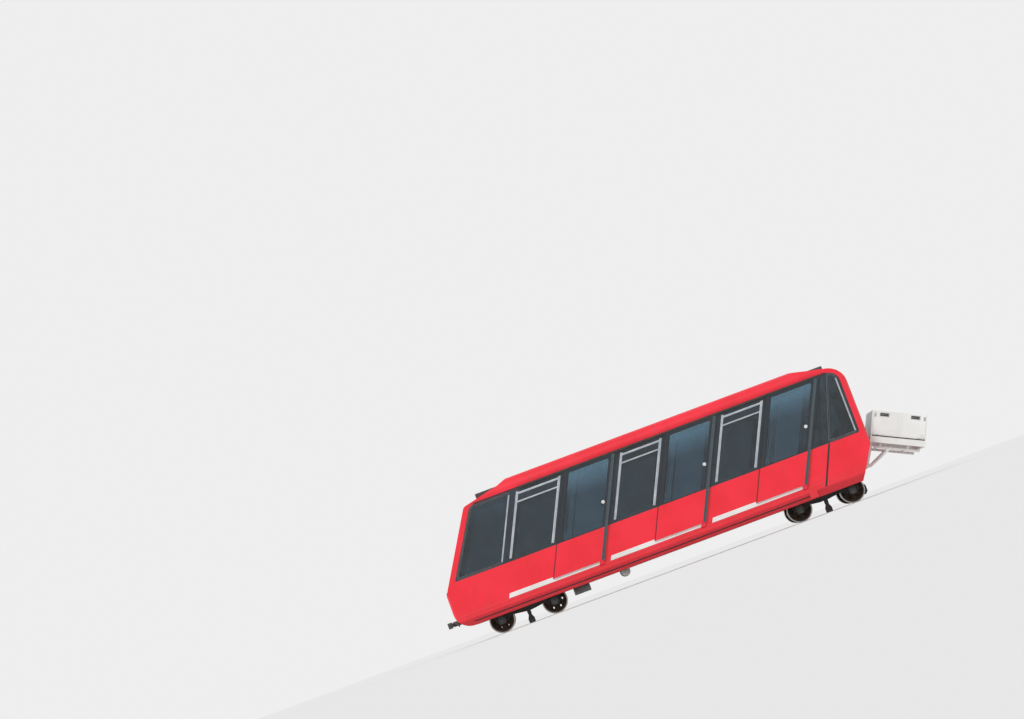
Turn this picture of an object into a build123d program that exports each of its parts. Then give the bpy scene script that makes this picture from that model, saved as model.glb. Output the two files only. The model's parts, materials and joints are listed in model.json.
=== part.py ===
from build123d import *
from math import cos, sin, tan, radians
import os

os.makedirs("parts", exist_ok=True)

# Funicular car in its track frame, in millimetres: wheels on Z = 0, +X up the line, +Z square to the track.
# Everything that stands plumb on the line leans by the slope angle in this frame.

# Line and body
slope = 26.0
gauge = 1000.0
rail_head = 50.0
body_width = 2260.0
roof_z = 3340.0
cant_z = 3025.0
belt_z = 1490.0
tuck_z = 575.0
skirt_z = 410.0
tuck_inset = 140.0
wall = 40.0
end_corner_r = 130.0
end_crease = 6.0
cove_r = 250.0
seat_gap = 0.3
running_gap = 0.05
moving_gap = 6.0

# Lower end, measured from the nose
nose_arc_r = 400.0
nose_kink = (0.0, 1250.0)
pillar_top = (1075.0, 3040.0)
cab_roof = (1977.0, 3245.0)
main_roof_start = 2210.0
end_frame = 150.0
lower_joint = 420.0

# Upper end, measured down from the end wall
main_roof_end = 1210.0
upper_roof_knee = (770.0, 3222.0)
upper_roof_corner_z = 3049.0
upper_corner_r = 480.0
undercut_z = 1200.0
undercut_reach = 470.0
upper_joint = 910.0
upper_frame = 155.0

# Doors, measured along the track at the belt line
door_first = 2790.0
door_pitch = 2490.0
door_count = 3
leaf_width = 1260.0
leaf_thickness = 34.0
leaf_gap = 16.0
leaf_bottom_z = 780.0
leaf_top_z = 3005.0
leaf_stile = 120.0
leaf_overlap = 40.0
leaf_clear = 180.0
glass_low_z = 1500.0
glass_top_inset = 50.0
foot_low_z = 700.0
foot_width = 110.0
foot_thickness = 20.0
upper_cab = 1370.0

# Windows between the doors, measured along the track at the belt line
window_low_z = 1515.0
window_high_z = 2995.0
pane_corner_r = 12.0
window_corner_r = 45.0
first_hopper_x = 1625.0
post_below_leaf = 65.0
post_above_leaf = 140.0
transom_z = 2710.0
frame_bar = 34.0
frame_depth = 30.0
glass_t = 8.0
cab_post = 160.0
narrow_pane_gap = 72.0
narrow_pane_end = (980.0, 460.0)
upper_window_start = (910.0, 410.0)
upper_window_end = 220.0
upper_window_r = 150.0

# Floor levels on the line: plumb height and level run are both taken from the nose datum
landing_z = 850.0
floor_t = 30.0
cab_floor_w = 800.0
cab_floor_start = -440.0
cab_step_1 = 300.0
cab_step_1_w = 1055.0
cab_step_2 = 480.0
first_seat_run = 1105.5
aisle_half = 280.0
aisle_step_run = 300.0

# Running gear
wheelbase = 1300.0
first_axle_x = 1001.0
last_axle_from_end = 748.0
tread_r = 280.0
flange_h = 22.0
wheel_room = 21.0
tread_width = 66.0
flange_t = 26.0
drum_width = 190.0
rim_t = 38.0
web_t = 26.0
hub_r = 105.0
web_dish = 28.0
web_hole_r = 26.0
web_holes = 6
axle_r = 62.0
journal_r = 45.0
journal_y = 640.0
axle_end_y = 775.0
side_frame_y = 712.0
side_web_t = 16.0
side_flange_width = 90.0
side_flange_t = 14.0
axle_box_half = 95.0
axle_box_r = 40.0
axle_box_depth = 124.0
spring_plates = 4
spring_pitch = 17.0
spring_plate_t = 8.0
spring_depth = 116.0
transom_x = 200.0
transom_r = 62.0
pivot_r = 60.0
pivot_room = 65.0

# Underframe
sill_y = 400.0
sill_width = 100.0
sill_skin = 12.0
cross_width = 60.0
box_clear = 189.0
box_length = 396.0
buffer_z = 593.0
buffer_reach = 256.0
buffer_width = 320.0
buffer_height = 140.0
shank_r = 60.0

# Load platform, plumb on its bracket behind the upper end, its corner measured from the end wall
platform_length = 1280.0
platform_height = 740.0
platform_width = 1500.0
platform_chassis = 186.0
platform_corner = (25.0, 1201.0)
board_t = 25.0
flap_gap = 6.0

# Derived values
rise = sin(radians(slope))
level = cos(radians(slope))
lean = tan(radians(slope))
body_length = door_first + (door_count - 1) * door_pitch + leaf_width + upper_cab
platform_reach = platform_corner[0] + platform_length * level + platform_height * rise
overall_length = buffer_reach + body_length + platform_reach
nose = buffer_reach - overall_length / 2
half = body_width / 2
tread_centre_y = (gauge + rail_head) / 2
flange_r = tread_r + flange_h
axle_z = flange_r
sill_low_z = axle_z + flange_r + wheel_room
bogie_top_z = sill_low_z - pivot_room
leaf_in = half + leaf_gap
leaf_out = leaf_in + leaf_thickness
inner = half - wall
module_rise = door_pitch * rise
landing_end_x = door_first + leaf_width + (landing_z - belt_z) * lean
first_landing_w = landing_end_x * rise + landing_z * level
first_landing_end = landing_end_x * level - landing_z * rise
door_run = leaf_width * level
seat_run = (door_pitch - leaf_width) * level
seat_floor_low_z = landing_z + door_run * rise - module_rise / 2 * level
sill_top_z = min(landing_z, seat_floor_low_z) - floor_t * (rise + level)
door_travel = door_pitch - leaf_width - leaf_clear
first_cross_x = first_axle_x + wheelbase + flange_r + box_clear + box_length * 0.7
bogies = (
    ("lower", first_axle_x + wheelbase / 2),
    ("upper", body_length - last_axle_from_end - wheelbase / 2),
)
sides = (("left", 1), ("right", -1))

# Sketch planes: track seen from the right, and the same plane turned level with its origin at the nose
track = Plane.XZ
plumb = Plane(origin=(nose, 0, 0), x_dir=(level, 0, -rise), z_dir=(0, -1, 0))


def from_nose(x, z):
    return (nose + x, z)


def from_end(x, z):
    return from_nose(body_length - x, z)


def door_x(i):
    return door_first + i * door_pitch


def leaned(x, z):
    return (nose + x + (z - belt_z) * lean, z)


def leaning_quad(x_low, x_high, z_low, z_high):
    return [
        leaned(x_low, z_low),
        leaned(x_high, z_low),
        leaned(x_high, z_high),
        leaned(x_low, z_high),
    ]


def outline(points, radius=0.0, mode=Mode.ADD, grow=0.0):
    """Closed face through the points, on the plane of the sketch that calls it."""
    with BuildLine() as edge:
        FilletPolyline(points, radius=radius, close=True)
    face = make_face(edge.edges(), mode=Mode.PRIVATE)
    if grow:
        face = offset(face, amount=grow, kind=Kind.INTERSECTION, mode=Mode.PRIVATE)
    add(face, mode=mode)


def from_side(y):
    return track.offset(-y)


# Outer form: side outline, cross-section and plan, each inset and crossed with the others
# columns: x from the nose, z, corner radius
side_corners = [
    (0.0, skirt_z, nose_arc_r),
    (nose_kink[0], nose_kink[1], 30.0),
    (pillar_top[0], pillar_top[1], 120.0),
    (cab_roof[0], cab_roof[1], 60.0),
    (main_roof_start, roof_z, 80.0),
    (body_length - main_roof_end, roof_z, 200.0),
    (body_length - upper_roof_knee[0], upper_roof_knee[1], 300.0),
    (body_length, upper_roof_corner_z, upper_corner_r),
    (body_length, undercut_z, 60.0),
    (body_length - undercut_reach, skirt_z, 0.0),
]
# columns: y, z, corner radius, one half of the section
section_corners = [
    (half - tuck_inset, skirt_z, 0.0),
    (half, tuck_z, 60.0),
    (half, roof_z, cove_r),
]


def envelope(inset):
    """Body form inset by a wall, with every face that much inside the outer skin."""
    side_points = [from_nose(x, z) for x, z, _ in side_corners]
    half_section = [(y, z) for y, z, _ in section_corners]
    section_points = half_section + [(-y, z) for y, z in reversed(half_section)]
    section_radii = [r for _, _, r in section_corners]
    with BuildPart() as form:
        with BuildSketch(track):
            outline(side_points, [r for _, _, r in side_corners], grow=-inset)
        extrude(amount=body_width, both=True)
        with BuildSketch(Plane.XY):
            with Locations((nose + body_length / 2, 0)):
                RectangleRounded(
                    body_length + 2 * (end_crease - inset),
                    body_width + 2 * (wall - inset),
                    end_corner_r + wall - inset,
                )
        extrude(amount=roof_z + wall, mode=Mode.INTERSECT)
        with BuildSketch(Plane.YZ.offset(nose - wall)):
            outline(section_points, section_radii + section_radii[::-1], grow=-inset)
        extrude(amount=body_length + 2 * wall, mode=Mode.INTERSECT)
    return form.part


outer_form = envelope(0)
inner_form = envelope(wall)
fit_form = envelope(wall + seat_gap)

# Regions of the shell, in the side view
pillar_slope = (pillar_top[0] - nose_kink[0]) / (pillar_top[1] - nose_kink[1])
frame_low_x = nose_kink[0] + (belt_z - nose_kink[1]) * pillar_slope + end_frame
frame_high_x = frame_low_x + (cant_z - belt_z) * pillar_slope
joint_foot = upper_joint + belt_z * lean
far = 600.0
lower_end_region = [
    from_nose(-far, 0),
    from_nose(lower_joint, 0),
    from_nose(lower_joint, belt_z),
    from_nose(frame_low_x, belt_z),
    from_nose(frame_high_x, cant_z),
    from_nose(-far, cant_z),
]
upper_end_region = [
    from_end(joint_foot, 0),
    from_end(upper_joint, belt_z),
    from_end(upper_frame, belt_z),
    from_end(upper_frame, cant_z),
    from_nose(body_length + far, cant_z),
    from_nose(body_length + far, 0),
]
panel_region = [
    from_nose(lower_joint, 0),
    from_end(joint_foot, 0),
    from_end(upper_joint, belt_z),
    from_nose(lower_joint, belt_z),
]
band_region = [
    from_nose(frame_low_x, belt_z),
    from_end(upper_frame, belt_z),
    from_end(upper_frame, cant_z),
    from_nose(frame_high_x, cant_z),
]
roof_region = [
    from_nose(0, cant_z),
    from_nose(body_length, cant_z),
    from_nose(body_length, roof_z),
    from_nose(0, roof_z),
]


# Hopper windows: one before the first door, one in each gap between two doors
hopper_spans = [(first_hopper_x, door_first - post_below_leaf)]
for i in range(1, door_count):
    low = door_x(i - 1) + leaf_width + post_above_leaf
    hopper_spans.append((low, door_x(i) - post_below_leaf))


def landing(i):
    """Level run of a door's landing and its plumb height."""
    end = first_landing_end + i * door_pitch * level
    return end - door_run, end, first_landing_w + i * module_rise


def window_outline(x_low, x_high, grow=0.0):
    """Leaning window between two plumb edges, with rounded corners."""
    corners = leaning_quad(x_low, x_high, window_low_z, window_high_z)
    outline(corners, window_corner_r, grow=grow)


def cab_window_outline(grow=0.0):
    """Lower cab side window: its front edge follows the screen pillar."""
    rise_low = window_low_z - belt_z
    rise_high = window_high_z - belt_z
    front = frame_low_x + end_frame * 0.2
    points = [
        from_nose(front + rise_low * pillar_slope, window_low_z),
        leaned(first_hopper_x - cab_post, window_low_z),
        leaned(first_hopper_x - cab_post, window_high_z),
        from_nose(front + rise_high * pillar_slope, window_high_z),
    ]
    outline(points, window_corner_r, grow=grow)


def narrow_pane_outline(grow=0.0):
    """Tapering pane between the last door and the upper cab window."""
    last_leaf_end = door_x(door_count - 1) + leaf_width
    points = [
        leaned(last_leaf_end + narrow_pane_gap, window_low_z),
        from_end(narrow_pane_end[0], window_low_z),
        from_end(narrow_pane_end[1], window_high_z),
        leaned(last_leaf_end + narrow_pane_gap, window_high_z),
    ]
    outline(points, window_corner_r, grow=grow)


def upper_window_outline(grow=0.0):
    """Upper cab side window: plumb lower edge, upright end with a large round corner."""
    points = [
        from_end(upper_window_start[0], window_low_z),
        from_end(upper_window_end, window_low_z),
        from_end(upper_window_end, window_high_z),
        from_end(upper_window_start[1], window_high_z),
    ]
    radii = [window_corner_r, window_corner_r, upper_window_r, window_corner_r]
    outline(points, radii, grow=grow)


# The dark band keeps to the flat of each side; the roof's bend between its two corners is red
band_in_y = half - end_corner_r - wall


def shell_piece(region, y_low, y_high):
    """Stretch of the body shell inside a side-view region, between two widths."""
    with BuildPart() as piece:
        with BuildSketch(from_side(y_low)):
            outline(region)
        extrude(amount=-(y_high - y_low))
        add(outer_form, mode=Mode.INTERSECT)
        add(inner_form, mode=Mode.SUBTRACT)
        with Locations((nose + body_length / 2, 0, skirt_z)):
            Box(
                body_length,
                2 * (half - tuck_inset - wall),
                3 * wall,
                mode=Mode.SUBTRACT,
            )
    return piece.part


# Side walls: a red lower panel with level door sills, and the dark band of pillars above it
for side, sign in sides:
    y_low, y_high = (0, half) if sign > 0 else (-half, 0)
    with BuildPart() as side_panel:
        add(shell_piece(panel_region, y_low, y_high))
        with BuildSketch(plumb.offset(-y_low)):
            for i in range(door_count):
                start, end, height = landing(i)
                low = (start + leaf_overlap * level, height)
                high = (end - leaf_overlap * level, height + roof_z)
                outline([low, (high[0], low[1]), high, (low[0], high[1])])
        extrude(amount=-half, mode=Mode.SUBTRACT)
    side_panel.part.label = f"side_panel_{side}"
    export_step(side_panel.part, f"parts/side_panel_{side}.step")

    band_y = (band_in_y, half) if sign > 0 else (-half, -band_in_y)
    with BuildPart() as window_band:
        add(shell_piece(band_region, *band_y))
        with BuildSketch(from_side(y_low)):
            for x_low, x_high in hopper_spans:
                window_outline(x_low, x_high)
            narrow_pane_outline()
            cab_window_outline()
            upper_window_outline()
        extrude(amount=-half, mode=Mode.SUBTRACT)
        with BuildSketch(from_side(y_low)):
            for i in range(door_count):
                x = door_x(i)
                edges = (x + leaf_overlap, x + leaf_width - leaf_overlap)
                outline(leaning_quad(*edges, belt_z - wall, window_high_z))
        extrude(amount=-half, mode=Mode.SUBTRACT)
    window_band.part.label = f"window_band_{side}"
    export_step(window_band.part, f"parts/window_band_{side}.step")

# Roof with its cove, over the whole length
with BuildPart() as roof:
    add(shell_piece(roof_region, -half, half))
roof.part.label = "roof"
export_step(roof.part, "parts/roof.step")

# Windscreens and the end panels that hold them
screen_dir = Vector(pillar_top[0] - nose_kink[0], 0, pillar_top[1] - nose_kink[1])
screen_up = screen_dir.normalized()
screen_normal = Vector(-screen_up.Z, 0, screen_up.X)
screen_low = 90.0
screen_high = 1900.0
screen_margin = 170.0
screen_half_y = half - screen_margin
screen_r = 90.0
lower_screen = Plane(
    origin=(nose + nose_kink[0], 0, nose_kink[1]),
    x_dir=(0, -1, 0),
    z_dir=screen_normal,
)
upper_screen_low = 1430.0
upper_screen_high = 2600.0
upper_screen = Plane(
    origin=(nose + body_length, 0, upper_screen_low), x_dir=(0, 1, 0), z_dir=(1, 0, 0)
)
lamp_r = 95.0
lamp_y = half - 330.0
lower_lamp_z = 1020.0
upper_lamp_z = 1310.0
end_opening_half = 700.0
end_opening_z = 600.0
arm_size = 80.0
arm_y = 560.0
arm_z = sill_low_z + 65.0


def screen_outline(height_low, height_high, grow=0.0):
    """Windscreen across the body, on the plane of an end."""
    width = 2 * (screen_half_y + grow)
    tall = height_high - height_low + 2 * grow
    with Locations((0, (height_low + height_high) / 2)):
        RectangleRounded(width, tall, screen_r + grow)


def lamp_centres(z):
    return [(lamp_y, z), (-lamp_y, z)]


with BuildPart() as lower_end:
    add(shell_piece(lower_end_region, -half, half))
    with BuildSketch(lower_screen):
        screen_outline(screen_low, screen_high)
    extrude(amount=far / 3, both=True, mode=Mode.SUBTRACT)
    with BuildSketch(Plane.YZ.offset(nose - wall)):
        with Locations(*lamp_centres(lower_lamp_z)):
            Circle(lamp_r)
        with Locations((0, buffer_z)):
            Circle(shank_r + moving_gap)
    extrude(amount=far / 2, mode=Mode.SUBTRACT)
lower_end.part.label = "lower_end"
export_step(lower_end.part, "parts/lower_end.step")

with BuildPart() as upper_end:
    add(shell_piece(upper_end_region, -half, half))
    add(shell_piece(band_region, -band_in_y, band_in_y))
    with BuildSketch(upper_screen):
        screen_outline(0, upper_screen_high - upper_screen_low)
    extrude(amount=-far / 3, mode=Mode.SUBTRACT)
    with BuildSketch(Plane.YZ.offset(nose + body_length + wall)):
        with Locations(*lamp_centres(upper_lamp_z)):
            Circle(lamp_r)
        with Locations((arm_y, arm_z), (-arm_y, arm_z)):
            Rectangle(arm_size + 2 * moving_gap, arm_size + 2 * moving_gap)
        with Locations((0, end_opening_z)):
            Rectangle(2 * end_opening_half, far, align=(Align.CENTER, Align.MAX))
    extrude(amount=-far, mode=Mode.SUBTRACT)
upper_end.part.label = "upper_end"
export_step(upper_end.part, "parts/upper_end.step")

with BuildPart() as windscreens:
    with BuildSketch(lower_screen):
        screen_outline(screen_low, screen_high, -seat_gap)
    extrude(amount=-glass_t)
    with BuildSketch(upper_screen):
        screen_outline(0, upper_screen_high - upper_screen_low, -seat_gap)
    extrude(amount=-glass_t)
windscreens.part.label = "windscreens"
export_step(windscreens.part, "parts/windscreens.step")

# Aluminium window frames and the panes in them
pane_inset = 10.0
with BuildPart() as window_frames:
    for _, sign in sides:
        with BuildSketch(from_side(sign * (half - frame_depth))):
            for x_low, x_high in hopper_spans:
                window_outline(x_low, x_high, -seat_gap)
            cab_window_outline(-seat_gap)
            upper_window_outline(-seat_gap)
            for x_low, x_high in hopper_spans:
                edges = (x_low + frame_bar, x_high - frame_bar)
                low = window_low_z + frame_bar
                high = window_high_z - frame_bar
                for z_low, z_high in ((low, transom_z), (transom_z + frame_bar, high)):
                    outline(leaning_quad(*edges, z_low, z_high), pane_corner_r, Mode.SUBTRACT)
        extrude(amount=-sign * frame_depth)
        with BuildSketch(from_side(sign * (half - frame_depth))):
            cab_window_outline(-frame_bar)
            upper_window_outline(-frame_bar)
        extrude(amount=-sign * frame_depth, mode=Mode.SUBTRACT)
window_frames.part.label = "window_frames"
export_step(window_frames.part, "parts/window_frames.step")

with BuildPart() as side_windows:
    for _, sign in sides:
        with BuildSketch(from_side(sign * (half - pane_inset - glass_t))):
            for x_low, x_high in hopper_spans:
                edges = (x_low + frame_bar + seat_gap, x_high - frame_bar - seat_gap)
                low = window_low_z + frame_bar + seat_gap
                high = window_high_z - frame_bar - seat_gap
                outline(leaning_quad(*edges, low, transom_z - seat_gap), pane_corner_r)
                outline(
                    leaning_quad(*edges, transom_z + frame_bar + seat_gap, high),
                    pane_corner_r,
                )
            narrow_pane_outline(-seat_gap)
            cab_window_outline(-frame_bar - seat_gap)
            upper_window_outline(-frame_bar - seat_gap)
        extrude(amount=-sign * glass_t)
side_windows.part.label = "side_windows"
export_step(side_windows.part, "parts/side_windows.step")

# Sliding doors, hung on rollers from a rail over the window band
rail_height = 44.0
rail_z = leaf_top_z + moving_gap
rail_out = leaf_out + 10.0
rail_wall = 5.0
slot_half = 10.0
hanger_t = 8.0
roller_r = 12.0
roller_width = 22.0
hanger_width = 90.0
leaf_mid = (leaf_in + leaf_out) / 2
roller_z = rail_z + rail_wall + roller_r + seat_gap
for i in range(door_count):
    x = door_x(i)
    for side, sign in sides:
        with BuildPart() as leaf:
            with BuildSketch(from_side(sign * leaf_in)):
                outline(leaning_quad(x, x + leaf_width, leaf_bottom_z, leaf_top_z))
                edges = (x + leaf_stile, x + leaf_width - leaf_stile)
                opening = leaning_quad(*edges, glass_low_z, leaf_top_z - glass_top_inset)
                outline(opening, window_corner_r, Mode.SUBTRACT)
            extrude(amount=-sign * leaf_thickness)
            with BuildSketch(from_side(sign * leaf_in)):
                edges = (x + leaf_width - foot_width, x + leaf_width)
                outline(leaning_quad(*edges, foot_low_z, leaf_bottom_z))
            extrude(amount=-sign * foot_thickness)
            for share in (0.2, 0.8):
                hanger_x = leaned(x + leaf_width * share, leaf_top_z)[0]
                with Locations((hanger_x, sign * leaf_mid, leaf_top_z)):
                    Box(
                        hanger_width,
                        hanger_t,
                        roller_z - leaf_top_z,
                        align=(Align.CENTER, Align.CENTER, Align.MIN),
                    )
                for step in (-1, 1):
                    centre = (hanger_x + step * hanger_width / 4, sign * leaf_mid)
                    with Locations((*centre, roller_z)):
                        Cylinder(roller_r, roller_width, rotation=(90, 0, 0))
        leaf.part.label = f"door_{i + 1}_{side}"
        export_step(leaf.part, f"parts/door_{i + 1}_{side}.step")

        with BuildPart() as pane:
            with BuildSketch(from_side(sign * (leaf_mid - glass_t / 2))):
                edges = (
                    x + leaf_stile + seat_gap,
                    x + leaf_width - leaf_stile - seat_gap,
                )
                heights = (
                    glass_low_z + seat_gap,
                    leaf_top_z - glass_top_inset - seat_gap,
                )
                outline(leaning_quad(*edges, *heights), window_corner_r)
            extrude(amount=-sign * glass_t)
        pane.part.label = f"door_glass_{i + 1}_{side}"
        export_step(pane.part, f"parts/door_glass_{i + 1}_{side}.step")

rail_end_stop = 60.0
rail_slot_lip = 6.0
rail_start = leaned(door_first - door_travel - rail_end_stop, rail_z)[0]
rail_end = leaned(door_x(door_count - 1) + leaf_width, rail_z)[0]
with BuildPart() as door_top_rails:
    for _, sign in sides:
        with BuildSketch(Plane.YZ.offset(rail_start)):
            with Locations((sign * (half + rail_out) / 2, rail_z + rail_height / 2)):
                Rectangle(rail_out - half, rail_height)
            with Locations((sign * leaf_mid, rail_z + rail_wall)):
                Rectangle(
                    2 * (slot_half + rail_slot_lip),
                    rail_height - 2 * rail_wall,
                    align=(Align.CENTER, Align.MIN),
                    mode=Mode.SUBTRACT,
                )
            with Locations((sign * leaf_mid, rail_z)):
                Rectangle(
                    2 * slot_half,
                    rail_wall,
                    align=(Align.CENTER, Align.MIN),
                    mode=Mode.SUBTRACT,
                )
        extrude(amount=rail_end - rail_start)
door_top_rails.part.label = "door_top_rails"
export_step(door_top_rails.part, "parts/door_top_rails.step")

cover_low_z = 710.0
cover_high_z = 815.0
cover_t = 10.0
cover_ahead = 1066.0
with BuildPart() as rail_covers:
    for _, sign in sides:
        with BuildSketch(from_side(sign * half)):
            for i in range(door_count):
                edges = (door_x(i) - cover_ahead, door_x(i) + leaf_width - leaf_overlap)
                outline(leaning_quad(*edges, cover_low_z, cover_high_z))
        extrude(amount=-sign * cover_t)
rail_covers.part.label = "rail_covers"
export_step(rail_covers.part, "parts/rail_covers.step")

# Stepped floor: level landings at the doors, level seat floors between them, half steps in the aisle
# columns: level run where a tread ends, its plumb height
treads = [(cab_floor_start, cab_floor_w), (cab_step_1, cab_step_1_w)]
treads.append((cab_step_2, first_landing_w - module_rise))
for i in range(door_count):
    start, end, height = landing(i)
    treads.append((start - (seat_run if i else first_seat_run), height - module_rise / 2))
    treads.append((start, height))
treads.append((landing(door_count - 1)[1], treads[-1][1] + module_rise / 2))
upper_floor_w = treads[-1][1]
floor_end_gap = 330.0
upper_floor_end = body_length / level - upper_floor_w * lean - floor_end_gap
floor_top = []
for (start, height), (end, _) in zip(treads, treads[1:] + [(upper_floor_end, 0)]):
    floor_top += [(start, height), (end, height)]
floor_under = [(s + floor_t, w - floor_t) for s, w in floor_top]
floor_under[0] = (cab_floor_start, cab_floor_w - floor_t)
floor_under[-1] = (upper_floor_end, upper_floor_w - floor_t)
with BuildPart() as floor_steps:
    with BuildSketch(plumb):
        outline(floor_top + floor_under[::-1])
    extrude(amount=inner, both=True)
    with BuildSketch(plumb):
        for (start, height), (_, low) in zip(treads[3:], treads[2:]):
            with Locations((start, (height + low) / 2)):
                Rectangle(aisle_step_run, floor_t, align=(Align.MAX, Align.MAX))
            with Locations((start - aisle_step_run, (height + low) / 2)):
                Rectangle(floor_t, (height - low) / 2, align=(Align.MIN, Align.MAX))
    extrude(amount=aisle_half, both=True)
    add(fit_form, mode=Mode.INTERSECT)
floor_steps.part.label = "floor_steps"
export_step(floor_steps.part, "parts/floor_steps.step")

# Underframe: two sills whose webs carry the stepped floor, with cross members and bolsters between them
sill_start = 120.0
sill_drop_x = 650.0
sill_rise_x = 715.0
sill_end = body_length - 440.0
sill_taper = 100.0
sill_shallow_z = sill_low_z + 65.0
sill_deep_x = 1000.0
cab_sill_low_z = 430.0
web_thickness = 12.0
pivot_depth = 110.0
bolster_half = 150.0
bolster_end = half - 230.0
beam_low_z = 470.0
beam_width = 80.0
lower_beam_height = 240.0
upper_beam_height = 150.0
lower_beam_x = 150.0
upper_beam_x = body_length - 600.0


def under_floor(x, w):
    """Height square to the track of the underside of a tread of plumb height w."""
    return (w - floor_t - x * rise) / level


sill_end_cut = 60.0
sill_bend = 30.0
sill_outline = [
    from_nose(sill_start, cab_sill_low_z),
    from_nose(sill_drop_x, cab_sill_low_z),
    from_nose(sill_rise_x, sill_low_z),
    from_nose(sill_end, sill_low_z),
    from_nose(sill_end, sill_top_z - sill_end_cut),
    from_nose(sill_end - sill_taper, sill_top_z),
    from_nose(sill_deep_x, sill_top_z),
    from_nose(sill_deep_x, sill_shallow_z),
    from_nose(sill_rise_x, sill_shallow_z),
    from_nose(sill_drop_x - sill_bend, under_floor(sill_drop_x - sill_bend, cab_floor_w)),
    from_nose(sill_start, under_floor(sill_start, cab_floor_w)),
]
web_bounds = [
    from_nose(sill_deep_x, sill_top_z),
    from_nose(sill_end - sill_taper, sill_top_z),
    from_nose(sill_end - sill_taper, roof_z),
    from_nose(sill_deep_x, roof_z),
]
with BuildPart() as sills:
    for _, sign in sides:
        web_side = sign * sill_y - web_thickness / 2
        with BuildPart(mode=Mode.PRIVATE) as floor_web:
            with BuildSketch(plumb.offset(-web_side)):
                outline(floor_under + [(upper_floor_end, -far), (cab_floor_start, -far)])
            extrude(amount=-web_thickness)
            with BuildSketch(from_side(web_side)):
                outline(web_bounds)
            extrude(amount=-web_thickness, mode=Mode.INTERSECT)
        add(floor_web.part)
        with BuildSketch(from_side(sign * (sill_y - sill_width / 2))):
            outline(sill_outline)
        extrude(amount=-sign * sill_width)
        with BuildSketch(from_side(sign * (sill_y - sill_width / 2 + sill_skin))):
            outline(sill_outline, grow=-sill_skin)
        extrude(amount=-sign * sill_width, mode=Mode.SUBTRACT)
    add(fit_form, mode=Mode.INTERSECT)
    add(floor_steps.part, mode=Mode.SUBTRACT)
sills.part.label = "sills"
export_step(sills.part, "parts/sills.step")

# Cross members stand past a leaf's uphill edge or its downhill one
cross_past_leaf = 20.0
cross_in_leaf = 280.0
cross_before_leaf = 70.0
cross_places = [
    first_cross_x,
    door_x(0) + leaf_width + cross_past_leaf,
    door_x(1) + cross_in_leaf,
    door_x(1) + leaf_width + cross_past_leaf,
    door_x(2) - cross_before_leaf,
]
# columns: x from the nose, width along the car, low z, high z, reach to each side
cross_beams = [(x, cross_width, sill_low_z, sill_top_z, inner) for x in cross_places]
cross_beams += [
    (lower_beam_x, beam_width, beam_low_z, beam_low_z + lower_beam_height, sill_y),
    (upper_beam_x, beam_width, sill_low_z, sill_low_z + upper_beam_height, bolster_end),
]
between_sills = 2 * (sill_y - sill_width / 2 - seat_gap)
past_sill = sill_y + sill_width / 2 + seat_gap
with BuildPart() as cross_members:
    for x, width, z_low, z_high, reach in cross_beams:
        with Locations((nose + x, 0, (z_low + z_high) / 2)):
            Box(width, between_sills, z_high - z_low)
        if reach > past_sill:
            centre_y = (reach + past_sill) / 2
            with Locations(
                (nose + x, centre_y, (z_low + z_high) / 2),
                (nose + x, -centre_y, (z_low + z_high) / 2),
            ):
                Box(width, reach - past_sill, z_high - z_low)
    add(fit_form, mode=Mode.INTERSECT)
    add(floor_steps.part, mode=Mode.SUBTRACT)
cross_members.part.label = "cross_members"
export_step(cross_members.part, "parts/cross_members.step")

with BuildPart() as bolsters:
    for _, x in bogies:
        with Locations((nose + x, 0, (sill_low_z + sill_top_z) / 2)):
            Box(2 * bolster_half, between_sills, sill_top_z - sill_low_z)
        outrigger_y = (bolster_end + past_sill) / 2
        with Locations(
            (nose + x, outrigger_y, (sill_low_z + sill_top_z) / 2),
            (nose + x, -outrigger_y, (sill_low_z + sill_top_z) / 2),
        ):
            Box(2 * bolster_half, bolster_end - past_sill, sill_top_z - sill_low_z)
        with Locations((nose + x, 0, sill_low_z)):
            Cylinder(pivot_r, pivot_depth, align=(Align.CENTER, Align.CENTER, Align.MAX))
bolsters.part.label = "bolsters"
export_step(bolsters.part, "parts/bolsters.step")

# Buffer through the nose
pad_depth = 70.0
pad_r = 25.0
plate_depth = 20.0
housing_depth = 40.0
collar_r = 95.0
collar_depth = 24.0
housing_inset = 25.0
# columns: depth of each plate behind the pad, its inset all round
buffer_plates = ((plate_depth, 0.0), (housing_depth, housing_inset))
with BuildPart() as buffer:
    x = nose - buffer_reach
    with BuildSketch(Plane.YZ.offset(x)):
        with Locations((0, buffer_z)):
            Rectangle(buffer_width, buffer_height)
    extrude(amount=pad_depth)
    fillet(buffer.edges().filter_by(Axis.X), pad_r)
    x += pad_depth
    for depth, inset in buffer_plates:
        with BuildSketch(Plane.YZ.offset(x)):
            with Locations((0, buffer_z)):
                Rectangle(buffer_width - 2 * inset, buffer_height - 2 * inset)
        extrude(amount=depth)
        x += depth
    shank_end = nose + lower_beam_x - beam_width / 2
    with BuildSketch(Plane.YZ.offset(x)):
        with Locations((0, buffer_z)):
            Circle(shank_r)
    extrude(amount=shank_end - x)
    with BuildSketch(Plane.YZ.offset(nose - collar_depth)):
        with Locations((0, buffer_z)):
            Circle(collar_r)
    extrude(amount=collar_depth)
buffer.part.label = "buffer"
export_step(buffer.part, "parts/buffer.step")

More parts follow.
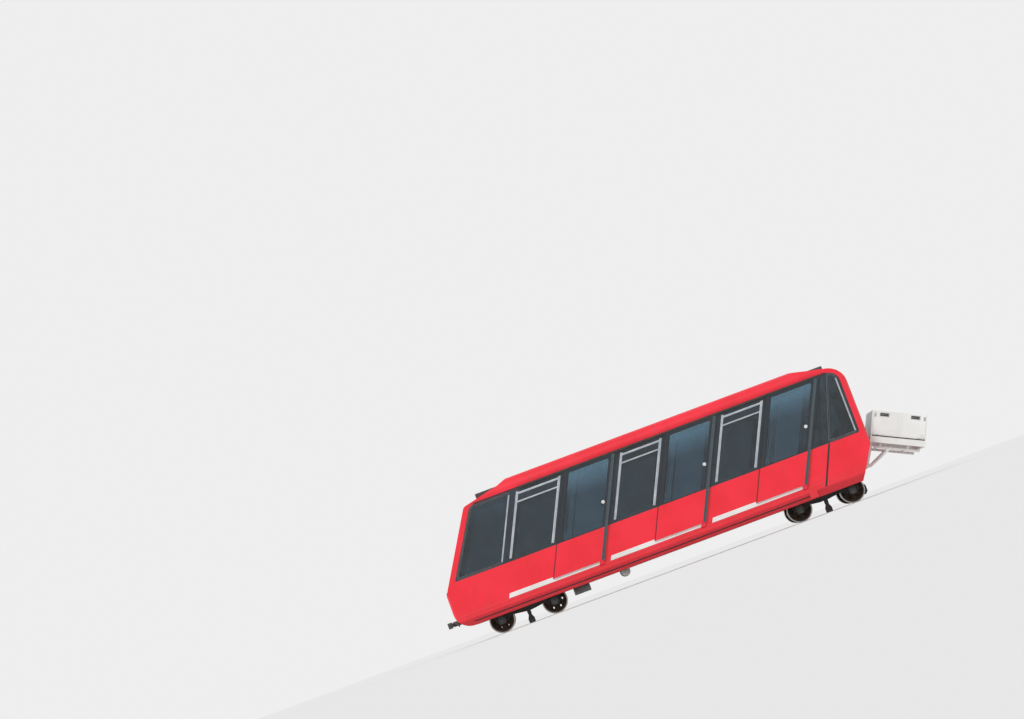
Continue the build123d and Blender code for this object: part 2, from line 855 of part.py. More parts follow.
# Rope anchor under the upper end beam
anchor_low_z = 105.0
anchor_x = (upper_beam_x - 40.0, upper_beam_x + 242.0)
anchor_gap = 50.0
anchor_half_y = 90.0
anchor_pin_z = 230.0
anchor_pin_x = upper_beam_x + 186.0
anchor_pin_r = 20.0
anchor_back_cut = 90.0
anchor_front_cut = 60.0
anchor_jaw_height = 200.0
anchor_neck = 140.0
anchor_slot = (200.0, 240.0)
with BuildPart() as rope_anchor:
    with BuildSketch(from_side(anchor_half_y)):
        outline(
            [
                from_nose(anchor_x[0], anchor_low_z + anchor_back_cut),
                from_nose(anchor_x[0] + anchor_back_cut, anchor_low_z),
                from_nose(anchor_x[1] - anchor_front_cut, anchor_low_z),
                from_nose(anchor_x[1], anchor_low_z + anchor_front_cut),
                from_nose(anchor_x[1], anchor_low_z + anchor_jaw_height),
                from_nose(anchor_x[1] - anchor_neck, beam_low_z),
                from_nose(upper_beam_x + beam_width / 2, sill_low_z),
                from_nose(anchor_x[0], sill_low_z),
            ]
        )
    extrude(amount=2 * anchor_half_y)
    with Locations((nose + anchor_x[1], 0, anchor_low_z)):
        Box(
            anchor_slot[0],
            anchor_gap,
            anchor_slot[1],
            align=(Align.MAX, Align.CENTER, Align.MIN),
            mode=Mode.SUBTRACT,
        )
    with Locations((nose + anchor_pin_x, 0, anchor_pin_z)):
        Cylinder(
            anchor_pin_r, 3 * anchor_half_y, rotation=(90, 0, 0), mode=Mode.SUBTRACT
        )
rope_anchor.part.label = "rope_anchor"
export_step(rope_anchor.part, "parts/rope_anchor.step")

# Underfloor gear: an air tank across the car and two boxes under a cross member
tank_r = 115.0
tank_z = 371.0
tank_half = half - 270.0
tank_x = cross_places[1]
tank_end_r = 50.0
strap_width = 50.0
strap_out = 6.0
hanger_width = 40.0
with BuildPart() as air_tank:
    with Locations((nose + tank_x, 0, tank_z)):
        Cylinder(tank_r, 2 * tank_half, rotation=(90, 0, 0))
    fillet(air_tank.edges(), tank_end_r)
    with Locations((nose + tank_x, sill_y, tank_z), (nose + tank_x, -sill_y, tank_z)):
        Cylinder(tank_r + strap_out, strap_width, rotation=(90, 0, 0))
        Box(
            hanger_width,
            strap_width,
            sill_low_z - tank_z,
            align=(Align.CENTER, Align.CENTER, Align.MIN),
        )
air_tank.part.label = "air_tank"
export_step(air_tank.part, "parts/air_tank.step")

box_width = 460.0
box_low_z = 244.0
box_x = first_cross_x - box_length * 0.2
box_y = half - 430.0
box_corner_r = 20.0
grille_depth = 12.0
grille_margin = 35.0
with BuildPart() as equipment_boxes:
    for _, sign in sides:
        with Locations((nose + box_x, sign * box_y, box_low_z)):
            Box(
                box_length,
                box_width,
                sill_low_z - box_low_z,
                align=(Align.CENTER, Align.CENTER, Align.MIN),
            )
    fillet(equipment_boxes.edges().filter_by(Axis.Z), box_corner_r)
    for _, sign in sides:
        centre = (nose + box_x, (box_low_z + sill_low_z) / 2)
        with BuildSketch(from_side(sign * (box_y + box_width / 2 - grille_depth))):
            with Locations(centre):
                Rectangle(
                    box_length - 2 * grille_margin,
                    sill_low_z - box_low_z - 2 * grille_margin,
                )
        extrude(amount=-sign * box_width, mode=Mode.SUBTRACT)
equipment_boxes.part.label = "equipment_boxes"
export_step(equipment_boxes.part, "parts/equipment_boxes.step")

# Roof pods
# columns: x from the nose, length, top z
pods = ((1396.0, 558.0, 3275.0), (body_length - 724.0, 372.0, 3268.0))
pod_half_y = 300.0
pod_root = 200.0
pod_corner_r = 40.0
pod_edge_r = 15.0
with BuildPart() as roof_pods:
    for x, length, z_top in pods:
        with BuildSketch(track):
            with Locations(from_nose(x, z_top)):
                Rectangle(length, pod_root, align=(Align.MIN, Align.MAX))
        extrude(amount=pod_half_y, both=True)
    fillet(roof_pods.edges().filter_by(Axis.Z), pod_corner_r)
    fillet(roof_pods.faces().filter_by(Axis.Z).sort_by(Axis.Z)[-2:].edges(), pod_edge_r)
    add(outer_form, mode=Mode.SUBTRACT)
roof_pods.part.label = "roof_pods"
export_step(roof_pods.part, "parts/roof_pods.step")

# Headlamps
lamp_depth = 120.0
lamp_lip = 4.0
lip_depth = 8.0
with BuildPart() as headlamps:
    with BuildSketch(Plane.YZ.offset(nose)):
        with Locations(*lamp_centres(lower_lamp_z)):
            Circle(lamp_r - seat_gap)
    extrude(amount=lamp_depth)
    with BuildSketch(Plane.YZ.offset(nose + body_length)):
        with Locations(*lamp_centres(upper_lamp_z)):
            Circle(lamp_r - seat_gap)
    extrude(amount=-lamp_depth)
    with BuildSketch(Plane.YZ.offset(nose)):
        with Locations(*lamp_centres(lower_lamp_z)):
            Circle(lamp_r + lamp_lip)
    extrude(amount=-lip_depth)
    with BuildSketch(Plane.YZ.offset(nose + body_length)):
        with Locations(*lamp_centres(upper_lamp_z)):
            Circle(lamp_r + lamp_lip)
    extrude(amount=lip_depth)
headlamps.part.label = "headlamps"
export_step(headlamps.part, "parts/headlamps.step")

# Benches face down the line, backs against the risers, with the aisle between them
bench_height = 400.0
bench_depth = 440.0
bench_back_h = 860.0
bench_back_t = 40.0
bench_gap = 12.0
bench_edge_r = 15.0
bench_wall_gap = 20.0
bench_out = inner - bench_wall_gap
bench_edge = 60.0
bench_foot = 160.0
bench_foot_drop = 120.0
cushion_t = 70.0
cushion_gap = 5.0
cushion_back_h = 400.0
cushion_back_lift = 20.0
upper_bench = 490.0
bench_places = [(landing(i)[0], landing(i)[2] - module_rise / 2) for i in range(3)]
bench_places.append((upper_floor_end - upper_bench, upper_floor_w))


def bench_y(sign):
    return sign * (bench_out + aisle_half + bench_wall_gap) / 2


bench_width = bench_out - aisle_half - bench_wall_gap
with BuildPart() as benches:
    for _, sign in sides:
        with BuildSketch(plumb.offset(-(bench_y(sign) - bench_width / 2))):
            for s, w in bench_places:
                back = s - bench_gap
                outline(
                    [
                        (back, w),
                        (back, w + bench_back_h),
                        (back - bench_back_t, w + bench_back_h),
                        (back - bench_back_t, w + bench_height),
                        (back - bench_depth, w + bench_height),
                        (back - bench_depth, w + bench_height - bench_edge),
                        (back - bench_foot, w + bench_height - bench_foot_drop),
                        (back - bench_foot, w),
                    ],
                    bench_edge_r,
                )
        extrude(amount=-bench_width)
benches.part.label = "benches"
export_step(benches.part, "parts/benches.step")

with BuildPart() as bench_cushions:
    for _, sign in sides:
        with BuildSketch(plumb.offset(-(bench_y(sign) - bench_width / 2))):
            for s, w in bench_places:
                back = s - bench_gap - bench_back_t - seat_gap
                seat = w + bench_height + seat_gap
                with Locations((back - cushion_t - cushion_gap, seat)):
                    Rectangle(
                        bench_depth - bench_back_t - cushion_t - cushion_gap,
                        cushion_t,
                        align=(Align.MAX, Align.MIN),
                    )
                with Locations((back, seat + cushion_back_lift)):
                    Rectangle(cushion_t, cushion_back_h, align=(Align.MAX, Align.MIN))
        extrude(amount=-bench_width)
bench_cushions.part.label = "bench_cushions"
export_step(bench_cushions.part, "parts/bench_cushions.step")

# Grab poles stand plumb on the landings and reach the ceiling
pole_r = 17.5
pole_s = 330.0
pole_y = 420.0
pole_length = 2600.0
with BuildPart() as grab_poles:
    for i in range(door_count):
        start, _, height = landing(i)
        foot = plumb.from_local_coords(Vector(start + pole_s, height, 0))
        for _, sign in sides:
            base = Plane(
                origin=(foot.X, sign * pole_y, foot.Z), z_dir=(rise, 0, level)
            )
            with BuildSketch(base):
                Circle(pole_r)
            extrude(amount=pole_length)
    add(inner_form, mode=Mode.INTERSECT)
grab_poles.part.label = "grab_poles"
export_step(grab_poles.part, "parts/grab_poles.step")

# Driver's desk in the lower cab and cabinet in the upper one
desk_half = half - 430.0
# columns: level distance from the nose, height above the cab floor
desk_points = [(-400, 0), (-120, 0), (-60, 780), (-110, 850), (-400, 900)]
cabinet_depth = 250.0
cabinet_height = 850.0
cabinet_back = 180.0
with BuildPart() as driver_desks:
    with BuildSketch(plumb):
        outline([(s, cab_floor_w + w) for s, w in desk_points])
        with Locations((upper_floor_end - cabinet_back, upper_floor_w)):
            Rectangle(cabinet_depth, cabinet_height, align=(Align.MAX, Align.MIN))
    extrude(amount=desk_half, both=True)
    add(fit_form, mode=Mode.INTERSECT)
driver_desks.part.label = "driver_desks"
export_step(driver_desks.part, "parts/driver_desks.step")

# Bogies: fish-bellied side frames, tube transoms, a bored centre block and the axle boxes
centre_half_y = 170.0
centre_depth = 130.0
transom_lift = 140.0
pivot_seat = 70.0
spring_lean = 30.0
spring_low_z = axle_z - 30.0
spring_high_z = axle_z + 110.0
# columns: distance in from the axle, height above it, corner radius
side_end_points = [(-150, -40, 30), (-150, 110, 60), (140, 150, 200)]
side_foot_points = [(260, 40, 120), (150, -40, 30)]
side_crown = (170, bogie_top_z - 60, 100)
side_belly = (0, axle_z - 10, 500)


def bogie_end(points, sign):
    """Outline points round one axle, for the lower (-1) or the upper (1) end."""
    return [(sign * (wheelbase / 2 - x), axle_z + z, r) for x, z, r in points]


bogie_side = bogie_end(side_end_points, -1)
bogie_side += [(-side_crown[0], *side_crown[1:]), side_crown]
bogie_side += bogie_end(side_end_points[::-1], 1)
bogie_side += bogie_end(side_foot_points[::-1], 1)
bogie_side += [side_belly]
bogie_side += bogie_end(side_foot_points, -1)
# Track brake jaws, on a hanger that is carried by the two transoms
jaw_gap = 62.0
jaw_t = 24.0
jaw_pin_z = 270.0
jaw_pin_r = 30.0
jaw_corner_r = 15.0
# columns: half width of the jaw, z, from its foot up to its head
jaw_steps = [(75, 8), (75, 110), (38, 190), (38, 320)]
jaw_points = [(-x, z) for x, z in jaw_steps[::-1]] + jaw_steps
hanger_low_z = axle_z - 80.0
hanger_foot = 45.0
hanger_reach = transom_x - transom_r
# columns: half width of the hanger, z, from its foot up to its head
hanger_steps = [
    (hanger_foot, hanger_low_z),
    (hanger_foot, axle_z + 60),
    (hanger_reach, axle_z + 105),
    (hanger_reach, axle_z + 170),
]
hanger_points = [(-x, z) for x, z in hanger_steps[::-1]] + hanger_steps
for name, x in bogies:
    axle_places = (x - wheelbase / 2, x + wheelbase / 2)
    with BuildPart() as bogie_frame:
        for _, sign in sides:
            points = [from_nose(x + dx, z) for dx, z, _ in bogie_side]
            radii = [r for _, _, r in bogie_side]
            with BuildSketch(from_side(sign * side_frame_y)):
                outline(points, radii)
            extrude(amount=side_web_t / 2, both=True)
            with BuildSketch(from_side(sign * side_frame_y)):
                outline(points, radii)
                outline(points, radii, Mode.SUBTRACT, grow=-side_flange_t)
            extrude(amount=side_flange_width / 2, both=True)
            with BuildSketch(from_side(sign * side_frame_y)):
                for axle_x in axle_places:
                    with Locations(from_nose(axle_x, axle_z)):
                        RectangleRounded(2 * axle_box_half, 2 * axle_box_half, axle_box_r)
            extrude(amount=axle_box_depth / 2, both=True)
            with BuildSketch(from_side(sign * side_frame_y)):
                for axle_x in axle_places:
                    for end in (-1, 1):
                        for k in range(spring_plates):
                            reach = axle_box_half + k * spring_pitch
                            foot = axle_x + end * (reach - spring_lean / 2)
                            head = axle_x + end * (reach + spring_lean / 2)
                            outline(
                                [
                                    from_nose(foot - spring_plate_t / 2, spring_low_z),
                                    from_nose(foot + spring_plate_t / 2, spring_low_z),
                                    from_nose(head + spring_plate_t / 2, spring_high_z),
                                    from_nose(head - spring_plate_t / 2, spring_high_z),
                                ]
                            )
            extrude(amount=spring_depth / 2, both=True)
        with Locations(
            (nose + x - transom_x, 0, axle_z + transom_lift),
            (nose + x + transom_x, 0, axle_z + transom_lift),
        ):
            Cylinder(transom_r, 2 * side_frame_y, rotation=(90, 0, 0))
        with Locations((nose + x, 0, bogie_top_z)):
            Box(
                2 * (transom_x + transom_r / 2),
                2 * centre_half_y,
                centre_depth,
                align=(Align.CENTER, Align.CENTER, Align.MAX),
            )
            Cylinder(
                pivot_r + pivot_seat,
                sill_low_z - bogie_top_z - seat_gap,
                align=(Align.CENTER, Align.CENTER, Align.MIN),
            )
        with Locations((nose + x, 0, sill_low_z)):
            Cylinder(pivot_r + running_gap, 2 * sill_low_z, mode=Mode.SUBTRACT)
        for axle_x in axle_places:
            with Locations((nose + axle_x, 0, axle_z)):
                Cylinder(
                    journal_r + running_gap,
                    2 * half,
                    rotation=(90, 0, 0),
                    mode=Mode.SUBTRACT,
                )
    bogie_frame.part.label = f"bogie_frame_{name}"
    export_step(bogie_frame.part, f"parts/bogie_frame_{name}.step")

    with BuildPart() as track_brake:
        for step in (-1, 1):
            with BuildSketch(from_side(step * jaw_gap - tread_centre_y)):
                outline([from_nose(x + dx, z) for dx, z in jaw_points], jaw_corner_r)
            extrude(amount=jaw_t / 2, both=True)
        with Locations((nose + x, -tread_centre_y, jaw_pin_z)):
            Cylinder(jaw_pin_r, 2 * jaw_gap, rotation=(90, 0, 0))
        with BuildSketch(from_side(-tread_centre_y)):
            outline([from_nose(x + dx, z) for dx, z in hanger_points])
        extrude(amount=jaw_gap - jaw_t / 2, both=True)
    track_brake.part.label = f"track_brake_{name}"
    export_step(track_brake.part, f"parts/track_brake_{name}.step")

# Wheelsets: a double-flanged wheel on the right, a wide plain drum on the left, pressed on one axle
flanged_wheel = [
    (-tread_width / 2 - flange_t, flange_r),
    (-tread_width / 2 - 8, flange_r),
    (-tread_width / 2 + 6, tread_r),
    (tread_width / 2 - 6, tread_r),
    (tread_width / 2 + 8, flange_r),
    (tread_width / 2 + flange_t, flange_r),
]
number = 0
for name, x in bogies:
    for axle_x in (x - wheelbase / 2, x + wheelbase / 2):
        number += 1
        with BuildPart() as wheelset:
            with BuildSketch(Plane((nose + axle_x, 0, axle_z), x_dir=(0, 1, 0), z_dir=(1, 0, 0))):
                inner_r = tread_r - rim_t
                with BuildLine():
                    Polyline(
                        (-axle_end_y, 0),
                        (-axle_end_y, journal_r),
                        (-journal_y, journal_r),
                        (-journal_y, axle_r),
                        (journal_y, axle_r),
                        (journal_y, journal_r),
                        (axle_end_y, journal_r),
                        (axle_end_y, 0),
                        close=True,
                    )
                make_face()
                rim_half = tread_width / 2 + flange_t
                with BuildLine():
                    Polyline(
                        *[(-tread_centre_y + y, r) for y, r in flanged_wheel],
                        (-tread_centre_y + rim_half, inner_r),
                        (-tread_centre_y - rim_half, inner_r),
                        close=True,
                    )
                make_face()
                with Locations((-tread_centre_y, 0)):
                    Rectangle(2 * rim_half, hub_r, align=(Align.CENTER, Align.MIN))
                with Locations((tread_centre_y, inner_r)):
                    Rectangle(drum_width, rim_t, align=(Align.CENTER, Align.MIN))
                with Locations((tread_centre_y, 0)):
                    Rectangle(2 * rim_half, hub_r, align=(Align.CENTER, Align.MIN))
                for _, sign in sides:
                    rim_y = sign * tread_centre_y
                    hub_y = rim_y - sign * web_dish
                    with BuildLine():
                        Polyline(
                            (hub_y - web_t / 2, hub_r - 5),
                            (hub_y + web_t / 2, hub_r - 5),
                            (rim_y + web_t / 2, inner_r + 5),
                            (rim_y - web_t / 2, inner_r + 5),
                            close=True,
                        )
                    make_face()
            revolve(axis=Axis((nose + axle_x, 0, axle_z), (0, 1, 0)))
            for _, sign in sides:
                centre = (nose + axle_x, sign * tread_centre_y, axle_z)
                with Locations(Plane(centre, x_dir=(1, 0, 0), z_dir=(0, 1, 0))):
                    with PolarLocations((hub_r + inner_r) / 2, web_holes):
                        Cylinder(web_hole_r, 2 * rim_half, mode=Mode.SUBTRACT)
        wheelset.part.label = f"wheelset_{number}"
        export_step(wheelset.part, f"parts/wheelset_{number}.step")

# Load platform: chassis tray, end boards and two drop sides, level on a bracket from the underframe
corner_x = body_length + platform_corner[0]
corner_s = corner_x * level - platform_corner[1] * rise
corner_w = corner_x * rise + platform_corner[1] * level
tray_half = platform_width / 2
hinge_rod_r = 7.0
barrel_r = 13.0
barrel_length = 90.0
lug_length = 40.0
hinge_out = barrel_r + flap_gap
hinge_w = corner_w + platform_chassis + barrel_r + 8.0
hinge_places = (150.0, platform_length - 150.0)
strap_height = 90.0
pocket_size = (200.0, 70.0)
pocket_corner_r = 15.0
pocket_depth = 10.0
pocket_shares = (0.22, 0.78)
pocket_drop = 85.0


def hinge_plane(sign, s):
    """Plane square to the hinge line of a drop side, at a level run from the tray's lower end."""
    point = plumb.from_local_coords(Vector(corner_s + s, hinge_w, 0))
    return Plane(
        origin=(point.X, sign * (tray_half + hinge_out), point.Z),
        x_dir=(0, sign, 0),
        z_dir=(sign * level, 0, -sign * rise),
    )


with BuildPart() as load_platform:
    with BuildSketch(plumb):
        with Locations((corner_s, corner_w)):
            Rectangle(platform_length, platform_chassis, align=(Align.MIN, Align.MIN))
    extrude(amount=tray_half, both=True)
    with BuildSketch(plumb):
        with Locations((corner_s + 2 * board_t, corner_w)):
            Rectangle(
                platform_length - 4 * board_t,
                platform_chassis - board_t,
                align=(Align.MIN, Align.MIN),
            )
    extrude(amount=tray_half - 2 * board_t, both=True, mode=Mode.SUBTRACT)
    with BuildSketch(plumb):
        for s in (corner_s, corner_s + platform_length - board_t):
            with Locations((s, corner_w)):
                Rectangle(board_t, platform_height, align=(Align.MIN, Align.MIN))
    extrude(amount=tray_half, both=True)
    for _, sign in sides:
        for place in hinge_places:
            for end in (-1, 1):
                edge = place + end * (barrel_length / 2 + running_gap)
                with BuildSketch(hinge_plane(sign, edge)):
                    Circle(barrel_r)
                    with Locations((-hinge_out / 2, -barrel_r)):
                        Rectangle(hinge_out, 2 * barrel_r, align=(Align.CENTER, Align.MAX))
                    Rectangle(2 * barrel_r, 2 * barrel_r, align=(Align.CENTER, Align.MAX))
                extrude(amount=sign * end * lug_length)
            with BuildSketch(hinge_plane(sign, place)):
                Circle(hinge_rod_r)
            extrude(amount=barrel_length / 2 + lug_length / 2, both=True)
load_platform.part.label = "load_platform"
export_step(load_platform.part, "parts/load_platform.step")

for side, sign in sides:
    with BuildPart() as flap:
        with BuildSketch(plumb.offset(-sign * (tray_half - board_t))):
            with Locations(
                (corner_s + board_t + flap_gap, corner_w + platform_chassis + flap_gap)
            ):
                Rectangle(
                    platform_length - 2 * board_t - 2 * flap_gap,
                    platform_height - platform_chassis - flap_gap,
                    align=(Align.MIN, Align.MIN),
                )
        extrude(amount=-sign * board_t)
        for place in hinge_places:
            with BuildSketch(hinge_plane(sign, place)):
                Circle(barrel_r)
                Rectangle(barrel_r, strap_height, align=(Align.MAX, Align.MIN))
                with Locations((-barrel_r, barrel_r)):
                    Rectangle(
                        flap_gap, strap_height - barrel_r, align=(Align.MAX, Align.MIN)
                    )
                Circle(hinge_rod_r + running_gap, mode=Mode.SUBTRACT)
            extrude(amount=barrel_length / 2, both=True)
        with BuildSketch(plumb.offset(-sign * (tray_half - pocket_depth))):
            for share in pocket_shares:
                s = corner_s + platform_length * share
                with Locations((s, corner_w + platform_height - pocket_drop)):
                    RectangleRounded(*pocket_size, pocket_corner_r)
        extrude(amount=-sign * board_t, mode=Mode.SUBTRACT)
    flap.part.label = f"drop_side_{side}"
    export_step(flap.part, f"parts/drop_side_{side}.step")

# Bracket: two arms from the end beam, posts and struts up to the tray, and a tube clamped under it
arm_start_x = upper_beam_x + beam_width / 2
arm_end_x = body_length - 110.0
bar_width = 60.0
tube_r = 30.0
tube_drop = 90.0
tube_s = (corner_s + 90, corner_s + 1180)
clamp_places = (corner_s + 260, corner_s + 900)
clamp_length = 60.0
# columns: distance down from the end wall, z
post_points = [(250, 700), (188, 700), (-120, 1200), (-50, 1200)]
strut_points = [(185, 655), (110, 655), (-470, 890), (-450, 940)]
with BuildPart() as load_bracket:
    for _, sign in sides:
        with Locations((nose + arm_start_x, sign * arm_y, arm_z)):
            Box(
                arm_end_x - arm_start_x,
                arm_size,
                arm_size,
                align=(Align.MIN, Align.CENTER, Align.CENTER),
            )
        with BuildSketch(from_side(sign * arm_y - bar_width / 2)):
            outline([from_end(x, z) for x, z in post_points])
            outline([from_end(x, z) for x, z in strut_points])
        extrude(amount=-bar_width)
        with BuildSketch(plumb.offset(-(sign * arm_y - bar_width / 2))):
            for s in clamp_places:
                with Locations((s, corner_w)):
                    Rectangle(clamp_length, tube_drop, align=(Align.CENTER, Align.MAX))
        extrude(amount=-bar_width)
        tube_start = plumb.from_local_coords(Vector(tube_s[0], corner_w - tube_drop, 0))
        with BuildSketch(
            Plane(
                origin=(tube_start.X, sign * arm_y, tube_start.Z),
                z_dir=(level, 0, -rise),
            )
        ):
            Circle(tube_r)
        extrude(amount=tube_s[1] - tube_s[0])
    with BuildSketch(plumb):
        with Locations((corner_s - far / 2, corner_w)):
            Rectangle(3 * far, far, align=(Align.MIN, Align.MIN))
    extrude(amount=half, both=True, mode=Mode.SUBTRACT)
load_bracket.part.label = "load_bracket"
export_step(load_bracket.part, "parts/load_bracket.step")
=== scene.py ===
import json
import math
from functools import partial

import bmesh
import bpy
from mathutils import Matrix, Vector


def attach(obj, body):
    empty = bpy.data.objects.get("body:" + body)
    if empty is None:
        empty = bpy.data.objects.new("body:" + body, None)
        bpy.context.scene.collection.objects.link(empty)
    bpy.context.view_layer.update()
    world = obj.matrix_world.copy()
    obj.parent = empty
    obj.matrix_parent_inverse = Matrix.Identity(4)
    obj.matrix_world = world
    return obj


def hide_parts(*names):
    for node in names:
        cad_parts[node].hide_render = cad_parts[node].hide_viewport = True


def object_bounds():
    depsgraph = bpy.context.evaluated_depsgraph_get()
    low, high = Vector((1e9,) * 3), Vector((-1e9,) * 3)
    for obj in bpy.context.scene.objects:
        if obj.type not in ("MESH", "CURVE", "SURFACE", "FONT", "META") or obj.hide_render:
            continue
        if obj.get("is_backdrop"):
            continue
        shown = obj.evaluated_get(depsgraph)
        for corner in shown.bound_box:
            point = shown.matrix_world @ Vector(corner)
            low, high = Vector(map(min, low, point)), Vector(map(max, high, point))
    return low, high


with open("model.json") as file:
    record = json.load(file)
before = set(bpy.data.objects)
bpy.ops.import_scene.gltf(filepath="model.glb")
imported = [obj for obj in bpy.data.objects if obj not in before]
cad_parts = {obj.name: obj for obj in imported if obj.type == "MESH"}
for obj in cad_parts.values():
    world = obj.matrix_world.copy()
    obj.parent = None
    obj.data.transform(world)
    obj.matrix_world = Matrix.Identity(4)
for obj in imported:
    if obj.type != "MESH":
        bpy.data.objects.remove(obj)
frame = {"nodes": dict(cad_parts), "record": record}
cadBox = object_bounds()
print("frame loaded")

# The car stands on its track: +X runs up the line, and what is plumb on the line leans by the slope
slope = math.radians(26.0)
rise, level, lean = math.sin(slope), math.cos(slope), math.tan(slope)
bodyLength = 10.4
bufferReach = 0.256  # from the nose to the face of the buffer
noseX = bufferReach - (cadBox[1].x - cadBox[0].x) / 2
sideY = 1.13  # outer face of the side panels
beltZ = 1.49  # foot of the dark window band
sides = (("left", 1), ("right", -1))
axles = {"wheelset_1": 1.001, "wheelset_2": 2.301, "wheelset_3": 8.352, "wheelset_4": 9.652}
axleZ = 0.302

# Camera: a long lens, square to the side, at floor level, rolled so that the car climbs as in the photograph
cameraSettings = {"distance": 60.0, "height": 0.15, "aim": (-2.505, 5.86), "roll": 20.4, "lens": 91.4}
aimX, aimZ = cameraSettings["aim"]
lookFrom = Vector((aimX, -sideY - cameraSettings["distance"], cameraSettings["height"]))
lookAt = Vector((aimX, -sideY, aimZ))
cameraData = bpy.data.cameras.new("camera")
cameraData.lens = cameraSettings["lens"]
cameraData.sensor_width = 36.0
cameraData.clip_end = 500.0
camera = bpy.data.objects.new("camera", cameraData)
bpy.context.scene.collection.objects.link(camera)
bpy.context.scene.camera = camera
roll = Matrix.Rotation(math.radians(-cameraSettings["roll"]), 4, "Z")
facing = (lookAt - lookFrom).to_track_quat("-Z", "Y").to_matrix().to_4x4()
camera.matrix_world = Matrix.Translation(lookFrom) @ facing @ roll

# Stage: one wide pale floor, lit evenly by a pale sky and two soft suns
stage = {"skySeen": 0.86, "skyLight": 0.52, "floorGrey": 0.83, "floorReach": 300.0}
scene = bpy.context.scene
scene.view_settings.view_transform = "Standard"


def linear(text):  # linear colour of an sRGB hex code
    parts = [int(text[i:i + 2], 16) / 255 for i in (0, 2, 4)]
    return [p / 12.92 if p < 0.04045 else ((p + 0.055) / 1.055) ** 2.4 for p in parts] + [1.0]


# One shader node with its settings. Its inputs come by name or number, or as a list from the first one on.
# Each is a value, a hex colour, or a socket or node that it is linked to; a node gives its first output.
def addNode(tree, kind, inputs=(), stops=(), **settings):
    node = tree.nodes.new("ShaderNode" + kind)
    for key, value in settings.items():
        setattr(node, key, value)
    for key, value in inputs.items() if isinstance(inputs, dict) else enumerate(inputs):
        if isinstance(value, bpy.types.Node):
            value = value.outputs[0]
        if isinstance(value, bpy.types.NodeSocket):
            tree.links.new(value, node.inputs[key])
        else:
            node.inputs[key].default_value = linear(value) if isinstance(value, str) else value
    for k, (position, colour) in enumerate(stops):  # a colour ramp's stops
        elements = node.color_ramp.elements
        element = elements[k] if k < 2 else elements.new(position)
        element.position = position
        element.color = linear(colour)
    return node


world = bpy.data.worlds.new("paleSky")
scene.world = world
world.use_nodes = True
sky = world.node_tree
sky.nodes.clear()
path = addNode(sky, "LightPath").outputs
seen = path["Is Camera Ray"]
# Reflections and glass show the sky that the camera sees
for other in ("Is Glossy Ray", "Is Transmission Ray"):
    seen = addNode(sky, "Math", [seen, path[other]], operation="MAXIMUM")
lighting = addNode(sky, "Background", {"Color": "FFFFFF", "Strength": stage["skyLight"]})
showing = addNode(sky, "Background", {"Color": "FFFFFF", "Strength": stage["skySeen"]})
mixed = addNode(sky, "MixShader", [seen, lighting, showing])
addNode(sky, "OutputWorld", {"Surface": mixed})

floorMesh = bpy.data.meshes.new("floor")
reach = stage["floorReach"]
corners = [(-reach, -reach, 0), (reach, -reach, 0), (reach, reach, 0), (-reach, reach, 0)]
floorMesh.from_pydata(corners, [], [(0, 1, 2, 3)])
floor = bpy.data.objects.new("floor", floorMesh)
scene.collection.objects.link(floor)
floor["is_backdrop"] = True
floorPaint = bpy.data.materials.new("studioFloor")
floorPaint.use_nodes = True
floorShader = floorPaint.node_tree.nodes["Principled BSDF"]
floorShader.inputs["Base Color"].default_value = [stage["floorGrey"]] * 3 + [1]
floorShader.inputs["Roughness"].default_value = 1.0
floorShader.inputs["Specular IOR Level"].default_value = 0.0
floorMesh.materials.append(floorPaint)


def sun(name, strength, angle, direction):  # soft sun shining along a direction
    data = bpy.data.lights.new(name, "SUN")
    data.energy = strength
    data.angle = math.radians(angle)
    lamp = bpy.data.objects.new(name, data)
    lamp.rotation_mode = "QUATERNION"
    lamp.rotation_quaternion = Vector(direction).to_track_quat("-Z", "Y")
    scene.collection.objects.link(lamp)


sun("keySun", 1.7, 24.0, (0.45, 0.75, -0.75))
sun("fillSun", 0.5, 60.0, (-0.6, -0.5, -0.6))
print("camera, floor and light made")


# Materials, each named for what the real surface is. A material is started with addNode
# bound to its tree and the car's own coordinates, and closed with its surface shader.
def startMaterial(name):
    material = bpy.data.materials.new(name)
    material.use_nodes = True
    material.node_tree.nodes.clear()
    add = partial(addNode, material.node_tree)
    return material, add, add("TexCoord").outputs["Object"]


def closeMaterial(add, inputs):
    add("OutputMaterial", {"Surface": add("BsdfPrincipled", inputs)})


def perMetre(sizeMm):  # texture scale that makes a pattern's cell this many millimetres wide
    return 1000.0 / sizeMm


